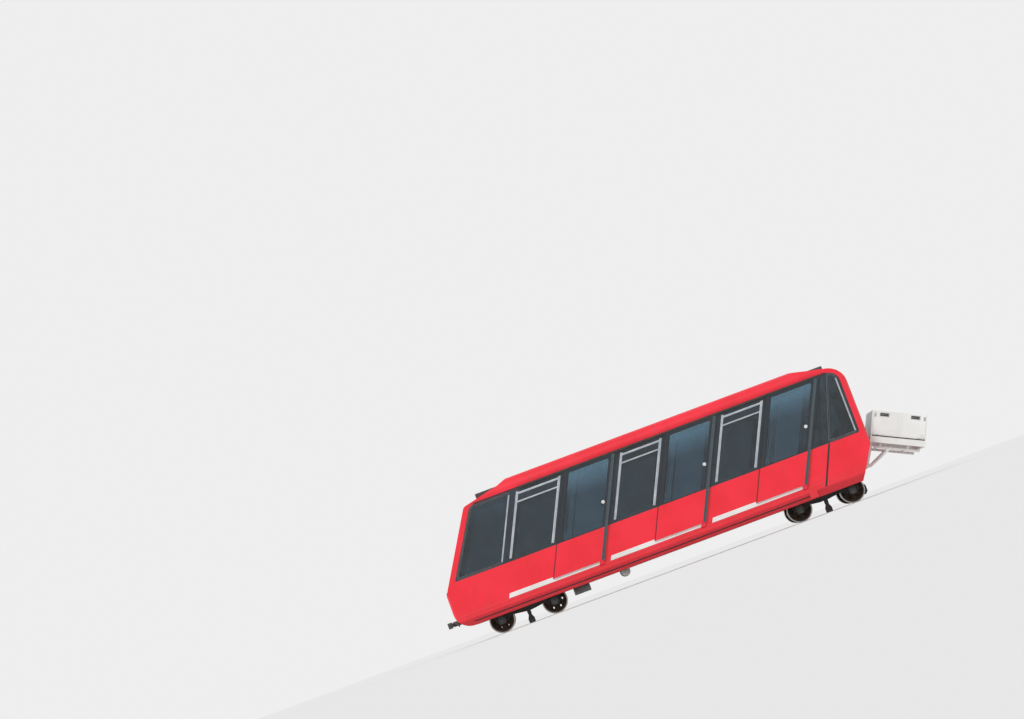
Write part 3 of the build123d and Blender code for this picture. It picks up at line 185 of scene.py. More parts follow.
# Sprayed coach enamel: deep gloss, a slight cloudiness from the sun, rain streaks, road dust low down
def coachEnamel(name, look):
    material, add, place = startMaterial(name)
    cloud = add("TexNoise", {"Vector": place, "Scale": perMetre(700), "Detail": 3, "Roughness": 0.5})
    colour = add("ValToRGB", [cloud], stops=[(0.36, look["deep"]), (0.64, look["faded"])])
    along, _, height = add("SeparateXYZ", [place]).outputs
    if "above" in look:  # another colour above the belt line
        over = add("Math", [height, beltZ], operation="GREATER_THAN")
        colour = add("Mix", {0: over, 6: colour, 7: look["above"]}, data_type="RGBA").outputs[2]
    # Rain streaks hang plumb, so their pattern is turned by the slope and drawn out to 1.5 m
    upright = add("Mapping", {"Vector": place, "Rotation": (0, -slope, 0)})
    stretch = (perMetre(90), perMetre(90), perMetre(1500))
    drawn = add("Mapping", {"Vector": upright, "Scale": stretch})
    streak = add("TexNoise", {"Vector": drawn, "Scale": 1, "Detail": 5, "Roughness": 0.6})
    streaks = add("MapRange", [streak, 0.52, 0.75, 0, look["streaks"]])
    colour = add("Mix", {0: streaks, 6: colour, 7: look["dust"]}, data_type="RGBA").outputs[2]
    # Dust thins out upwards from the skirt, in patches about 120 mm across
    patch = add("TexNoise", {"Vector": place, "Scale": perMetre(120), "Detail": 6, "Roughness": 0.65})
    lowDown = add("MapRange", [height, 0.85, 0.42, 0, 1])
    dustAmount = add("Math", [lowDown, patch], operation="MULTIPLY")
    dusty = add("Math", [dustAmount, look["lowDust"]], operation="MULTIPLY")
    colour = add("Mix", {0: dusty, 6: colour, 7: look["dust"]}, data_type="RGBA").outputs[2]
    rough = add("MapRange", [patch, 0.3, 0.75, look["rough"], look["rough"] + 0.14])
    roughness = add("Math", [rough, dusty], operation="ADD", use_clamp=True)
    if "lining" in look:  # faces that look at the middle of the car are its laminate lining
        fromMiddle = add("VectorMath", [place, (0, 0, 1.75)], operation="SUBTRACT")
        outward = [place.node.outputs["Normal"], fromMiddle]
        looking = add("VectorMath", outward, operation="DOT_PRODUCT").outputs["Value"]
        inside = add("Math", [looking, 0], operation="LESS_THAN")
        colour = add("Mix", {0: inside, 6: colour, 7: look["lining"]}, data_type="RGBA").outputs[2]
    # Sheet steel is never quite flat between its welds: waves about 450 mm long
    wave = add("TexNoise", {"Vector": place, "Scale": perMetre(450), "Detail": 1})
    skin = add("Bump", {"Height": wave, "Strength": 0.25, "Distance": 0.012})
    if "sheets" in look:  # roof sheets lap over each other, with a sealed joint about 15 mm wide
        lap = add("Math", [along, look["sheets"]], operation="PINGPONG")
        joint = add("MapRange", [lap, 0.006, 0.009, 0.55, 0])
        colour = add("Mix", {0: joint, 6: colour, 7: look["dust"]}, data_type="RGBA").outputs[2]
        skin = add("Bump", {"Height": joint, "Strength": 0.8, "Distance": 0.003, "Normal": skin})
    # Orange peel is about 3 mm on the car and would vanish, so it is drawn at 14 mm
    peel = add("TexNoise", {"Vector": place, "Scale": perMetre(14), "Detail": 2})
    skin = add("Bump", {"Height": peel, "Strength": 0.06, "Distance": 0.001, "Normal": skin})
    closeMaterial(add, {
        "Base Color": colour, "Roughness": roughness, "IOR": 1.5, "Coat Weight": look["coat"],
        "Coat Roughness": 0.08, "Normal": skin,
    })
    return material


lining = "CDCFCB"
redEnamel = coachEnamel("redCoachEnamel", {
    "deep": "EC0C27", "faded": "F51733", "dust": "70453F", "streaks": 0.10, "lowDust": 0.45,
    "rough": 0.32, "coat": 0.3, "lining": lining,
})
roofEnamel = coachEnamel("redRoofEnamel", {
    "deep": "E60E29", "faded": "F21A36", "dust": "7A4A44", "streaks": 0.16, "lowDust": 0.3,
    "rough": 0.46, "coat": 0.1, "lining": lining, "sheets": 1.55,
})
doorEnamel = coachEnamel("doorLeafEnamel", {
    "deep": "EC0C27", "faded": "F51733", "above": "111D26", "dust": "70453F", "streaks": 0.10,
    "lowDust": 0.3, "rough": 0.32, "coat": 0.3,
})
blackEnamel = coachEnamel("blackBandEnamel", {
    "deep": "0E1922", "faded": "172731", "dust": "54626A", "streaks": 0.2, "lowDust": 0.3,
    "rough": 0.3, "coat": 0.4, "lining": lining,
})
whiteEnamel = coachEnamel("whiteEnamel", {
    "deep": "E2E2DF", "faded": "EEEEEC", "dust": "A39D92", "streaks": 0.12, "lowDust": 0.2,
    "rough": 0.38, "coat": 0.3,
})
greyEnamel = coachEnamel("greyPlatformEnamel", {
    "deep": "A6AAAC", "faded": "B6BABB", "dust": "6E6A60", "streaks": 0.3, "lowDust": 0.5,
    "rough": 0.45, "coat": 0.15,
})
print("enamels made")


# Dull surfaces with patches of another colour and a fine grain in relief. The patches and the grain are
# given by their size in mm, the detail and, for the patches, how rough their edges are.
def mottled(name, look, stops, rough):
    material, add, place = startMaterial(name)
    size, detail, edges = look["patches"]
    patches = {"Vector": place, "Scale": perMetre(size), "Detail": detail, "Roughness": edges}
    patch = add("TexNoise", patches)
    size, detail, strength, depth = look["grain"]
    grain = add("TexNoise", {"Vector": place, "Scale": perMetre(size), "Detail": detail})
    roughness = add("MapRange", [patch, 0.3, 0.7, rough[0], rough[1]])
    closeMaterial(add, {
        "Base Color": add("ValToRGB", [patch], stops=stops), "Roughness": roughness, "IOR": look["ior"],
        "Normal": add("Bump", {"Height": grain, "Strength": strength, "Distance": depth}),
    })
    return material


# Painted chassis steel: matt, with brake dust and rust in patches
steelLook = {"patches": (160, 7, 0.68), "grain": (12, 3, 0.35, 0.002), "ior": 1.5}


def chassisSteel(name, paint, grime, rust, rough):
    return mottled(name, steelLook, [(0.38, paint), (0.56, grime), (0.72, rust)], (rough, 0.9))


darkSteel = chassisSteel("chassisBlackSteel", "26292C", "3A3835", "54402F", 0.5)
tankSteel = chassisSteel("tankSilverPaint", "B9BCBC", "A5A6A2", "7C6650", 0.45)
boxSteel = chassisSteel("boxGreyPaint", "565B5E", "4A4B49", "5E4A38", 0.5)


# Rolled wheel steel: brown and matt on the disc, polished bright where it runs on the rail
def wheelSteel(name, axleX):
    material, add, place = startMaterial(name)
    fromAxle = add("VectorMath", [place, (axleX, 0, axleZ)], operation="SUBTRACT")
    flat = add("VectorMath", [fromAxle, (1, 0, 1)], operation="MULTIPLY")
    radius = add("VectorMath", [flat], operation="LENGTH").outputs["Value"]
    grime = add("TexNoise", {"Vector": place, "Scale": perMetre(90), "Detail": 6, "Roughness": 0.65})
    disc = add("ValToRGB", [grime], stops=[(0.35, "3B332D"), (0.65, "57483C")])
    running = add("MapRange", [radius, 0.272, 0.279, 0, 1])
    colour = add("Mix", {0: running, 6: disc, 7: "A9A7A3"}, data_type="RGBA").outputs[2]
    rough = add("MapRange", {0: running, 3: 0.75, 4: 0.28})
    skin = add("Bump", {"Height": grime, "Strength": 0.3, "Distance": 0.002})
    closeMaterial(add, {"Base Color": colour, "Metallic": 0.75, "Roughness": rough, "Normal": skin})
    return material


# Anodised aluminium: fine lines along the extrusion, drawn at 6 mm because real ones would not show
def anodised(name, colours):
    material, add, place = startMaterial(name)
    stretch = (perMetre(400), perMetre(6), perMetre(6))
    drawn = add("Mapping", {"Vector": place, "Scale": stretch})
    line = add("TexNoise", {"Vector": drawn, "Scale": 1, "Detail": 4})
    cloud = add("TexNoise", {"Vector": place, "Scale": perMetre(180), "Detail": 4})
    colour = add("ValToRGB", [cloud], stops=[(0.35, colours[0]), (0.65, colours[1])])
    rough = add("MapRange", [line, 0.3, 0.7, 0.3, 0.46])
    skin = add("Bump", {"Height": line, "Strength": 0.12, "Distance": 0.0006})
    closeMaterial(add, {"Base Color": colour, "Metallic": 1, "Roughness": rough, "Normal": skin})
    return material


windowAluminium = anodised("anodisedAluminium", ("AAB1B8", "BFC5CB"))
brushedSteel = anodised("brushedStainlessSteel", ("B4B4B2", "CBCBC9"))


# Moulded rubber and plastic: dull, bleached in patches
rubberLook = {"patches": (60, 6, 0.7), "grain": (8, 2, 0.2, 0.001), "ior": 1.52}


def moulded(name, fresh, bleached):
    return mottled(name, rubberLook, [(0.4, fresh), (0.75, bleached)], (0.55, 0.8))


sealRubber = moulded("blackSealRubber", "17191B", "34373A")
# The door edge guard is dark rubber drawn in light grey: painted highlight along its rounded ribs
edgeRubberPaintedHighlight = moulded("doorEdgeRubberPaintedHighlight", "3A464C", "4D5B62")
bufferRubber = moulded("bufferRubber", "353C40", "5C625D")


# Toughened glass, tinted in the mass and dusty in patches, with a bluer sun strip along the top
def tintedGlass(name, look):
    material, add, place = startMaterial(name)
    height = add("SeparateXYZ", [place]).outputs["Z"]
    strip = add("MapRange", [height, look["strip"][0], look["strip"][1], 0, 1])
    dust = add("TexNoise", {"Vector": place, "Scale": perMetre(260), "Detail": 6, "Roughness": 0.6})
    tints = {0: strip, 6: look["tint"], 7: look["stripTint"]}
    colour = add("Mix", tints, data_type="RGBA").outputs[2]
    clear = add("MapRange", [dust, 0.3, 0.75, look["clear"], look["clear"] - 0.12])
    veil = [strip, -look["veil"], clear]
    veiled = add("Math", veil, operation="MULTIPLY_ADD", use_clamp=True)
    rough = add("MapRange", [dust, 0.4, 0.8, 0, 0.04])
    closeMaterial(add, {"Base Color": colour, "Roughness": rough, "IOR": 1.5, "Transmission Weight": veiled})
    return material


doorGlass = tintedGlass("doorSafetyGlass", {
    "tint": "677F8E", "stripTint": "7099AF", "strip": (2.35, 2.85), "clear": 0.95, "veil": 0.3,
})
sideGlass = tintedGlass("sideSafetyGlass", {
    "tint": "5E6F78", "stripTint": "5C7482", "strip": (2.5, 2.9), "clear": 0.96, "veil": 0.1,
})
screenGlass = tintedGlass("laminatedScreenGlass", {
    "tint": "BCC6C3", "stripTint": "83A3AD", "strip": (2.5, 2.75), "clear": 0.96, "veil": 0.12,
})


# Pressed lamp glass: clear, with the upright flutes that spread the beam, about 18 mm apart. The wave
# texture's own cell is a twentieth of a full turn wide.
def lampGlass(name):
    material, add, place = startMaterial(name)
    waves = {"Vector": place, "Scale": perMetre(17.765) * math.tau / 20, "Distortion": 0}
    fluted = add("TexWave", waves, bands_direction="Y").outputs["Fac"]
    skin = add("Bump", {"Height": fluted, "Strength": 0.5, "Distance": 0.002})
    colour = add("Mix", {0: fluted, 6: "F4F6F2", 7: "D9DDDA"}, data_type="RGBA").outputs[2]
    closeMaterial(add, {
        "Base Color": colour, "Roughness": 0.08, "IOR": 1.5, "Transmission Weight": 0.3, "Normal": skin,
    })
    return material


lampLens = lampGlass("pressedLampGlass")


# Studded rubber floor: studs 28 mm apart and 20 mm wide, greyed by shoes
def studdedFloor(name):
    material, add, place = startMaterial(name)
    studs = add("TexVoronoi", {"Vector": place, "Scale": perMetre(28), "Randomness": 0})
    raised = add("MapRange", [studs, 0.42, 0.3, 0, 1])
    worn = add("TexNoise", {"Vector": place, "Scale": perMetre(350), "Detail": 5})
    colour = add("ValToRGB", [worn], stops=[(0.35, "2C3033"), (0.7, "4A4C4B")])
    skin = add("Bump", {"Height": raised, "Strength": 0.6, "Distance": 0.0015})
    rough = add("MapRange", [worn, 0.3, 0.7, 0.6, 0.8])
    closeMaterial(add, {"Base Color": colour, "Roughness": rough, "IOR": 1.5, "Normal": skin})
    return material


studFloor = studdedFloor("studdedRubberFloor")


# Vinyl leathercloth: pebbled grain, drawn at 9 mm because the real 1.5 mm would not show, paler where worn
def seatVinyl(name):
    material, add, place = startMaterial(name)
    pebbles = {"Vector": place, "Scale": perMetre(9)}
    grain = add("TexVoronoi", pebbles, feature="DISTANCE_TO_EDGE").outputs["Distance"]
    worn = add("TexNoise", {"Vector": place, "Scale": perMetre(140), "Detail": 5})
    colour = add("ValToRGB", [worn], stops=[(0.35, "A5161F"), (0.7, "C42F33")])
    rough = add("MapRange", [worn, 0.3, 0.7, 0.42, 0.6])
    skin = add("Bump", {"Height": grain, "Strength": 0.25, "Distance": 0.001})
    closeMaterial(add, {
        "Base Color": colour, "Roughness": rough, "IOR": 1.5, "Sheen Weight": 0.1, "Normal": skin,
    })
    return material


redVinyl = seatVinyl("redSeatVinyl")
shellPlastic = moulded("greyMouldedShell", "7D8184", "8E9295")
deskPlastic = moulded("deskMouldedPlastic", "2E3235", "44484B")
whiteNylon = moulded("whiteNylon", "DADCD9", "E9E9E6")
print("materials made")

slotFinish = {
    "red_enamel": redEnamel, "door_paint": doorEnamel, "black_paint": blackEnamel,
    "white_paint": whiteEnamel, "grey_paint": greyEnamel, "tinted_glass": sideGlass,
    "window_aluminium": windowAluminium, "dark_steel": darkSteel, "worn_steel": darkSteel,
    "bright_steel": brushedSteel, "floor_covering": studFloor, "buffer_rubber": bufferRubber,
    "lamp_lens": lampLens, "red_upholstery": redVinyl,
}
ownFinish = {
    "roof": roofEnamel, "roof_pods": boxSteel, "windscreens": screenGlass, "air_tank": tankSteel,
    "equipment_boxes": boxSteel, "grab_poles": whiteNylon, "benches": shellPlastic,
    "driver_desks": deskPlastic,
}
for part in frame["record"]["subparts"]:
    node = part["node"]
    finish = ownFinish.get(node, slotFinish[part["material_slot"]])
    if node.startswith("door_glass"):
        finish = doorGlass
    if node in axles:
        finish = wheelSteel("rolledWheelSteel_" + node[-1], noseX + axles[node])
    mesh = frame["nodes"][node].data
    mesh.materials.clear()
    mesh.materials.append(finish)
print("CAD nodes finished")


# Ways along the car on the level, across it, and plumb
alongWay = Vector((level, 0, -rise))
acrossWay = Vector((0, 1, 0))
upWay = Vector((rise, 0, level))


# Mesh tools, all in metres
def sidePoint(x, z, y):  # x from the nose, y across the car
    return Vector((noseX + x, y, z))


def leanedPoint(x, z, y):  # x is taken at the belt line, on a plumb edge
    return Vector((noseX + x + (z - beltZ) * lean, y, z))


def cornersOf(middle, across, up):  # of a rectangle, from its middle and its two half sides
    return [middle + across * a + up * b for a, b in ((-1, -1), (1, -1), (1, 1), (-1, 1))]


# Sweeps a closed profile of (across, out) points along a path, with mitred corners
def addBead(mesh, route, profile, outward, closed=False):
    outward = Vector(outward).normalized()
    count = len(route)
    rings = []
    for i, point in enumerate(route):
        coming = (point - route[i - 1]).normalized() if (i or closed) else None
        going = (route[(i + 1) % count] - point).normalized() if (i < count - 1 or closed) else None
        coming = coming or going
        going = going or coming
        across = (coming + going).normalized().cross(outward).normalized()
        stretch = 1 / max(0.35, across.dot(coming.cross(outward).normalized()))
        rings.append([mesh.verts.new(point + across * a * stretch + outward * b) for a, b in profile])
    size = len(profile)
    for i in range(count if closed else count - 1):
        here, there = rings[i], rings[(i + 1) % count]
        for k in range(size):
            mesh.faces.new((here[k], here[(k + 1) % size], there[(k + 1) % size], there[k]))
    if not closed:
        mesh.faces.new(rings[0])
        mesh.faces.new(rings[-1][::-1])


def mirrored(right):  # whole bead profile from its right half, foot first
    return [(-right[0][0], right[0][1])] + right + [(-a, b) for a, b in right[:0:-1] if a]


def domed(width, tall):  # half-round moulding profile, lying on its base
    half = width / 2
    return mirrored([(half, 0), (half, tall * 0.45), (half * 0.66, tall * 0.88), (0, tall)])


def ringed(radius, steps=10):  # round rod profile
    angles = [math.tau * k / steps for k in range(steps)]
    return [(radius * math.cos(a), radius * math.sin(a)) for a in angles]


# Turns an outline of (radius, along) points about an axis
def addTurned(mesh, outline, centre, axis, steps=28):
    spin = Vector((0, 0, 1)).rotation_difference(Vector(axis).normalized()).to_matrix()
    rings = []
    hollow = outline[0] == outline[-1]  # the outline comes back to its start
    for r, along in outline[:-1] if hollow else outline:
        angles = [math.tau * k / steps for k in range(steps)] if r > 1e-6 else [0.0]
        places = [spin @ Vector((r * math.cos(a), r * math.sin(a), along)) for a in angles]
        rings.append([mesh.verts.new(centre + place) for place in places])
    for here, there in zip(rings, rings[1:] + rings[:1] if hollow else rings[1:]):
        for k in range(steps):
            n = (k + 1) % steps
            corners = [here[k % len(here)], here[n % len(here)], there[n % len(there)], there[k % len(there)]]
            corners = list(dict.fromkeys(corners))
            if len(corners) > 2:
                mesh.faces.new(corners)
    for ring in [] if hollow else (rings[0], rings[-1]):
        if len(ring) > 2:
            mesh.faces.new(ring)


# Plate cut to an outline, with its edges broken by a bevel
def addPlate(mesh, corners, depth, bevel):
    depth = Vector(depth)
    near = [mesh.verts.new(c) for c in corners]
    farSide = [mesh.verts.new(c + depth) for c in corners]
    made = [mesh.faces.new(near), mesh.faces.new(farSide[::-1])]
    for k in range(len(near)):
        n = (k + 1) % len(near)
        made.append(mesh.faces.new((near[n], near[k], farSide[k], farSide[n])))
    edges = list(dict.fromkeys(edge for face in made for edge in face.edges))
    bmesh.ops.bevel(mesh, geom=edges, offset=bevel, segments=2, affect="EDGES", clamp_overlap=True)


# Hexagon bolt head with its washer, on a surface whose outward direction is given
def addBolt(mesh, centre, outward, size):
    washer = [(0.75, 0), (0.75, 0.12), (0.5, 0.12)]
    head = [(0.56, 0.1), (0.56, 0.5), (0.45, 0.6)]
    for outline, steps in ((washer, 14), (head, 6)):
        addTurned(mesh, [(size * r, size * z) for r, z in outline], centre, outward, steps)


# Adds a piece to its body, in its slot's own finish unless another is given
def finishPiece(mesh, name, slotName, finish=None, body="car", smooth=35):
    bmesh.ops.recalc_face_normals(mesh, faces=mesh.faces)
    data = bpy.data.meshes.new(name)
    mesh.to_mesh(data)
    mesh.free()
    data.shade_smooth()
    data.set_sharp_from_angle(angle=math.radians(smooth))
    data.materials.append(finish or slotFinish[slotName])
    piece = bpy.data.objects.new(name, data)
    scene.collection.objects.link(piece)
    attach(piece, body)
    return piece


# Edges of the panes of a node that face one way, as closed routes
def paneEdges(node, facing):
    source = bmesh.new()
    source.from_mesh(frame["nodes"][node].data)
    bmesh.ops.remove_doubles(source, verts=source.verts, dist=1e-5)
    facing = Vector(facing).normalized()
    chosen = [face for face in source.faces if face.normal.dot(facing) > 0.995]
    follow = {}
    for face in chosen:
        for loop in face.loops:
            if sum(other in chosen for other in loop.edge.link_faces) == 1:
                follow[loop.vert.index] = loop.link_loop_next.vert.index
    source.verts.ensure_lookup_table()
    routes = []
    while follow:
        route, k = [], next(iter(follow))
        while k in follow:
            route.append(source.verts[k].co.copy())
            k = follow.pop(k)
        routes.append(route)
    source.free()
    return routes


# Door furniture: a ribbed guard down the edge that closes, in light grey as painted highlight, rubber down
# the other, pane seals, push buttons
doorStarts = (2.79, 5.28, 7.77)
leafWidth = 1.26
doorFurniture = {
    "face": 1.18, "heights": (0.786, 2.995), "guardWidth": 0.07, "guardProud": 0.006, "guardIn": 0.001,
    "rubberIn": 0.012, "rubber": (0.02, 0.004), "seal": (0.024, 0.009),
    "buttonRadius": 0.041, "buttonIn": 0.176, "buttonZ": 2.035, "buttonFace": 1.1672,
}
half, proud = doorFurniture["guardWidth"] / 2, doorFurniture["guardProud"]
# The finger guard has two ribs with a groove between them
ribbed = mirrored([
    (half, 0), (half, proud * 0.6), (half * 0.8, proud), (half * 0.3, proud), (half * 0.15, proud * 0.4),
])
# The button is a rounded rim round a raised knob
r = doorFurniture["buttonRadius"]
knob = [
    (r, 0), (r, 0.012), (r * 0.94, 0.016), (r * 0.72, 0.017), (r * 0.68, 0.013), (r * 0.64, 0.013),
    (r * 0.62, 0.0185), (r * 0.4, 0.0205), (0, 0.0212),
]
for number, start in enumerate(doorStarts, 1):
    for side, sign in sides:
        body = f"sliding_door_{number}_{side}"
        outward = (0, sign, 0)
        face = sign * doorFurniture["face"]
        guard, rubber, button = bmesh.new(), bmesh.new(), bmesh.new()
        x = start + leafWidth - half - doorFurniture["guardIn"]
        addBead(guard, [leanedPoint(x, z, face) for z in doorFurniture["heights"]], ribbed, outward)
        x = start + doorFurniture["rubberIn"]
        ends = [leanedPoint(x, z, face) for z in doorFurniture["heights"]]
        addBead(rubber, ends, domed(*doorFurniture["rubber"]), outward)
        for route in paneEdges(f"door_glass_{number}_{side}", outward):
            addBead(rubber, route, domed(*doorFurniture["seal"]), outward, closed=True)
        x = start + leafWidth - doorFurniture["buttonIn"]
        centre = leanedPoint(x, doorFurniture["buttonZ"], sign * doorFurniture["buttonFace"])
        addTurned(button, knob, centre, outward, 40)
        # The guard's light grey is painted highlight; the real rubber is dark
        finishPiece(guard, f"door_edge_guard_{number}_{side}", "buffer_rubber", edgeRubberPaintedHighlight, body)
        finishPiece(rubber, f"door_rubber_{number}_{side}", "buffer_rubber", sealRubber, body)
        finishPiece(button, f"door_button_{number}_{side}", "white_paint", whiteNylon, body)
print("door furniture made")

# Seals round the fixed panes and the windscreens. Black rubber also covers the frames of the cab windows,
# all but the long upright bar on the uphill side.
seals = {
    "side": (0.018, 0.0055), "screen": (0.034, 0.009), "cover": (0.028, 0.004), "coverShift": 0.017,
    "coverLift": 0.0098, "cabsBeyond": (1.6, 9.65), "steep": 0.25,
}
for side, sign in sides:
    outward = Vector((0, sign, 0))
    beads = bmesh.new()
    for route in paneEdges("side_windows", outward):
        middle = sum(route, Vector()) / len(route)
        if middle.y * sign < 0:  # inner face of a pane across the car
            continue
        addBead(beads, route, domed(*seals["side"]), outward, closed=True)
        first, last = seals["cabsBeyond"]
        if first < middle.x - noseX < last:
            continue
        uprights = []
        for k, (here, there) in enumerate(zip(route, route[1:] + route[:1])):
            if (here + there).x / 2 > middle.x and abs((there - here).z) > seals["steep"]:
                uprights.append(((there - here).length, k))
        bare = max(uprights)[1]
        covered = route[bare + 1:] + route[:bare + 1]
        across = (covered[1] - covered[0]).cross(outward).normalized()
        shift = math.copysign(seals["coverShift"], across.dot(covered[0] - middle))
        cover = [(a + shift, b + seals["coverLift"]) for a, b in domed(*seals["cover"])]
        addBead(beads, covered, cover, outward)
    finishPiece(beads, f"side_window_seals_{side}", "buffer_rubber", sealRubber)
screen = {"footZ": 1.25, "topZ": 3.04, "run": 1.075, "upperFootZ": 1.43}  # the lower one slants
screenUp = Vector((screen["run"], 0, screen["topZ"] - screen["footZ"])).normalized()
screenOut = Vector((-screenUp.z, 0, screenUp.x))
for name, outward in (("lower", screenOut), ("upper", Vector((1, 0, 0)))):
    beads = bmesh.new()
    for route in paneEdges("windscreens", outward):
        addBead(beads, route, domed(*seals["screen"]), outward, closed=True)
    finishPiece(beads, f"screen_seal_{name}", "buffer_rubber", sealRubber)

# Windscreen wipers, parked along the foot of each glass: spindle, sprung arm, holder and blade
wiper = {
    "spindles": {"left": 0.12, "right": -0.64}, "up": 0.045, "lift": 0.026,
    "arm": 0.46, "armWay": (0.93, 0.26), "blade": 0.68, "bladeTilt": 0.06, "bladeOut": 0.006,
}
spindle = [(0.026, 0.0), (0.026, 0.012), (0.017, 0.02), (0.014, 0.034), (0, 0.037)]
armBar = mirrored([(0.011, -0.004), (0.009, 0.005)])
holder = mirrored([(0.007, -0.003), (0.004, 0.005)])
blade = mirrored([(0.003, -0.004), (0.006, 0.006)])
for name, origin, up, outward in (
    ("lower", sidePoint(0, screen["footZ"], 0), screenUp, screenOut),
    ("upper", sidePoint(bodyLength, screen["upperFootZ"], 0), Vector((0, 0, 1)), Vector((1, 0, 0))),
):
    for side, spindleY in wiper["spindles"].items():
        arms = bmesh.new()
        foot = origin + up * wiper["up"] + acrossWay * spindleY
        addTurned(arms, spindle, foot, outward, 20)
        aside, above = wiper["armWay"]
        tip = foot + (acrossWay * aside + up * above) * wiper["arm"]
        lift = outward * wiper["lift"]
        addBead(arms, [foot + lift, foot.lerp(tip, 0.35) + lift * 1.15, tip + lift * 0.9], armBar, outward)
        reach = (acrossWay + up * wiper["bladeTilt"]).normalized() * wiper["blade"] / 2
        bow = [tip - reach + lift * 0.5, tip + lift * 0.75, tip + reach + lift * 0.5]
        addBead(arms, bow, holder, outward)
        onGlass = outward * wiper["bladeOut"]
        addBead(arms, [tip - reach + onGlass, tip + reach + onGlass], blade, outward)
        finishPiece(arms, f"wiper_{name}_{side}", "buffer_rubber", sealRubber)
print("seals and wipers made")

# Red mouldings along the sides: the crease below the rail covers, and the jacking bracket with two gussets
crease = {"z": 0.674, "ends": (0.16, 9.05), "width": 0.034, "proud": 0.006}
jacking = {"x": 8.746, "z": 0.515, "wide": 0.186, "tall": 0.17, "face": 1.1285, "thick": 0.012}
gusset = {"places": (8.668, 8.818), "corners": ((0.55, 1.12), (0.44, 1.12), (0.44, 1.02)), "thick": 0.008}
# Black strips, painted shade: in the recessed joint ahead of the uphill cab, along the shaded slot where the
# skirt turns in, and as black drip rails beyond the doors that carry on the shadow line under the door top
# rails
joint = {"route": ((9.486, 1.484), (9.108, 0.66), (9.07, 0.585)), "width": 0.042, "proud": 0.005}
# The skirt turns in by 140 mm over 165 mm of height, from topZ down
skirt = {"z": 0.497, "ends": (0.42, 8.64), "topZ": 0.575, "turnsIn": 0.14, "over": 0.165}
skirtProfile = domed(0.03, 0.006)
drip = {"z": 3.043, "spans": ((1.32, 2.424), (9.77, 9.98)), "width": 0.026, "proud": 0.012}
callButton = {"uphill": 0.075, "z": 1.951}
callKnob = [(0.03, 0), (0.03, 0.004), (0.026, 0.0065), (0.018, 0.0065), (0.017, 0.005), (0, 0.0058)]
creaseProfile = domed(crease["width"], crease["proud"])
for side, sign in sides:
    outward = (0, sign, 0)
    face = sign * sideY
    reds = bmesh.new()
    addBead(reds, [sidePoint(x, crease["z"], face) for x in crease["ends"]], creaseProfile, outward)
    middle = sidePoint(jacking["x"], jacking["z"], sign * jacking["face"])
    corners = cornersOf(middle, Vector((jacking["wide"] / 2, 0, 0)), Vector((0, 0, -jacking["tall"] / 2)))
    addPlate(reds, corners, (0, -sign * jacking["thick"], 0), 0.003)
    for x in gusset["places"]:
        corners = [sidePoint(x, z, sign * y) for z, y in gusset["corners"]]
        addPlate(reds, corners, (gusset["thick"], 0, 0), 0.001)
    finishPiece(reds, f"side_mouldings_{side}", "red_enamel")
    # These black beads paint shade lines: the joint's recess, the skirt's slot and the shadow under the cant
    # rail
    strips = bmesh.new()
    route = [sidePoint(x, z, face) for x, z in joint["route"]]
    addBead(strips, route, domed(joint["width"], joint["proud"]), outward)
    skirtY = face - sign * skirt["turnsIn"] * (skirt["topZ"] - skirt["z"]) / skirt["over"]
    skirtOut = (0, sign * skirt["over"], -skirt["turnsIn"])
    addBead(strips, [sidePoint(x, skirt["z"], skirtY) for x in skirt["ends"]], skirtProfile, skirtOut)
    for span in drip["spans"]:
        ends = [sidePoint(x, drip["z"], face) for x in span]
        addBead(strips, ends, domed(drip["width"], drip["proud"]), outward)
    finishPiece(strips, f"painted_shade_strips_{side}", "buffer_rubber", sealRubber)
    # Round call buttons on the pillars, uphill of each door
    buttons = bmesh.new()
    for start in doorStarts:
        centre = leanedPoint(start + leafWidth + callButton["uphill"], callButton["z"], face)
        addTurned(buttons, callKnob, centre, outward)
    finishPiece(buttons, f"pillar_buttons_{side}", "buffer_rubber", sealRubber)
# A cover strip over the sheet joint between the roof and the upper end
roofEnd = {"x": 10.241, "z": 3.0215, "y": 1.126, "outward": (0.66, 0, 0.75)}
strip = bmesh.new()
ends = [sidePoint(roofEnd["x"], roofEnd["z"], sign * roofEnd["y"]) for sign in (-1, 1)]
addBead(strip, ends, creaseProfile, roofEnd["outward"])
finishPiece(strip, "roof_end_strip", "red_enamel")
# Red plates round off the corners of the dark band. Each corner: place, ways along its two edges, radius.
bandCorners = (
    ((10.241, 3.026), (-1, 0), (0, -1), 0.25),
    ((10.241, beltZ), (-1, 0), (0, 1), 0.06),
    ((1.214, 3.026), (1, 0), (-0.515, -0.857), 0.2),
    ((0.292, beltZ), (1, 0), (0.515, 0.857), 0.03),
)
plate = {"thick": 0.0015, "steps": 16, "bevel": 0.0004}
for side, sign in sides:
    plates = bmesh.new()
    for (x, z), one, other, r in bandCorners:
        tip = sidePoint(x, z, sign * sideY)
        ways = [Vector((dx, 0, dz)).normalized() for dx, dz in (one, other)]
        halfTurn = ways[0].angle(ways[1]) / 2
        centre = tip + (ways[0] + ways[1]).normalized() * r / math.sin(halfTurn)
        spokes = [tip + way * r / math.tan(halfTurn) - centre for way in ways]
        turns = [spokes[0].slerp(spokes[1], k / plate["steps"]) for k in range(plate["steps"] + 1)]
        rounded = [centre + spoke.normalized() * r for spoke in turns]
        addPlate(plates, [tip] + rounded, (0, sign * plate["thick"], 0), plate["bevel"])
    finishPiece(plates, f"band_corner_plates_{side}", "red_enamel")
print("side mouldings made")
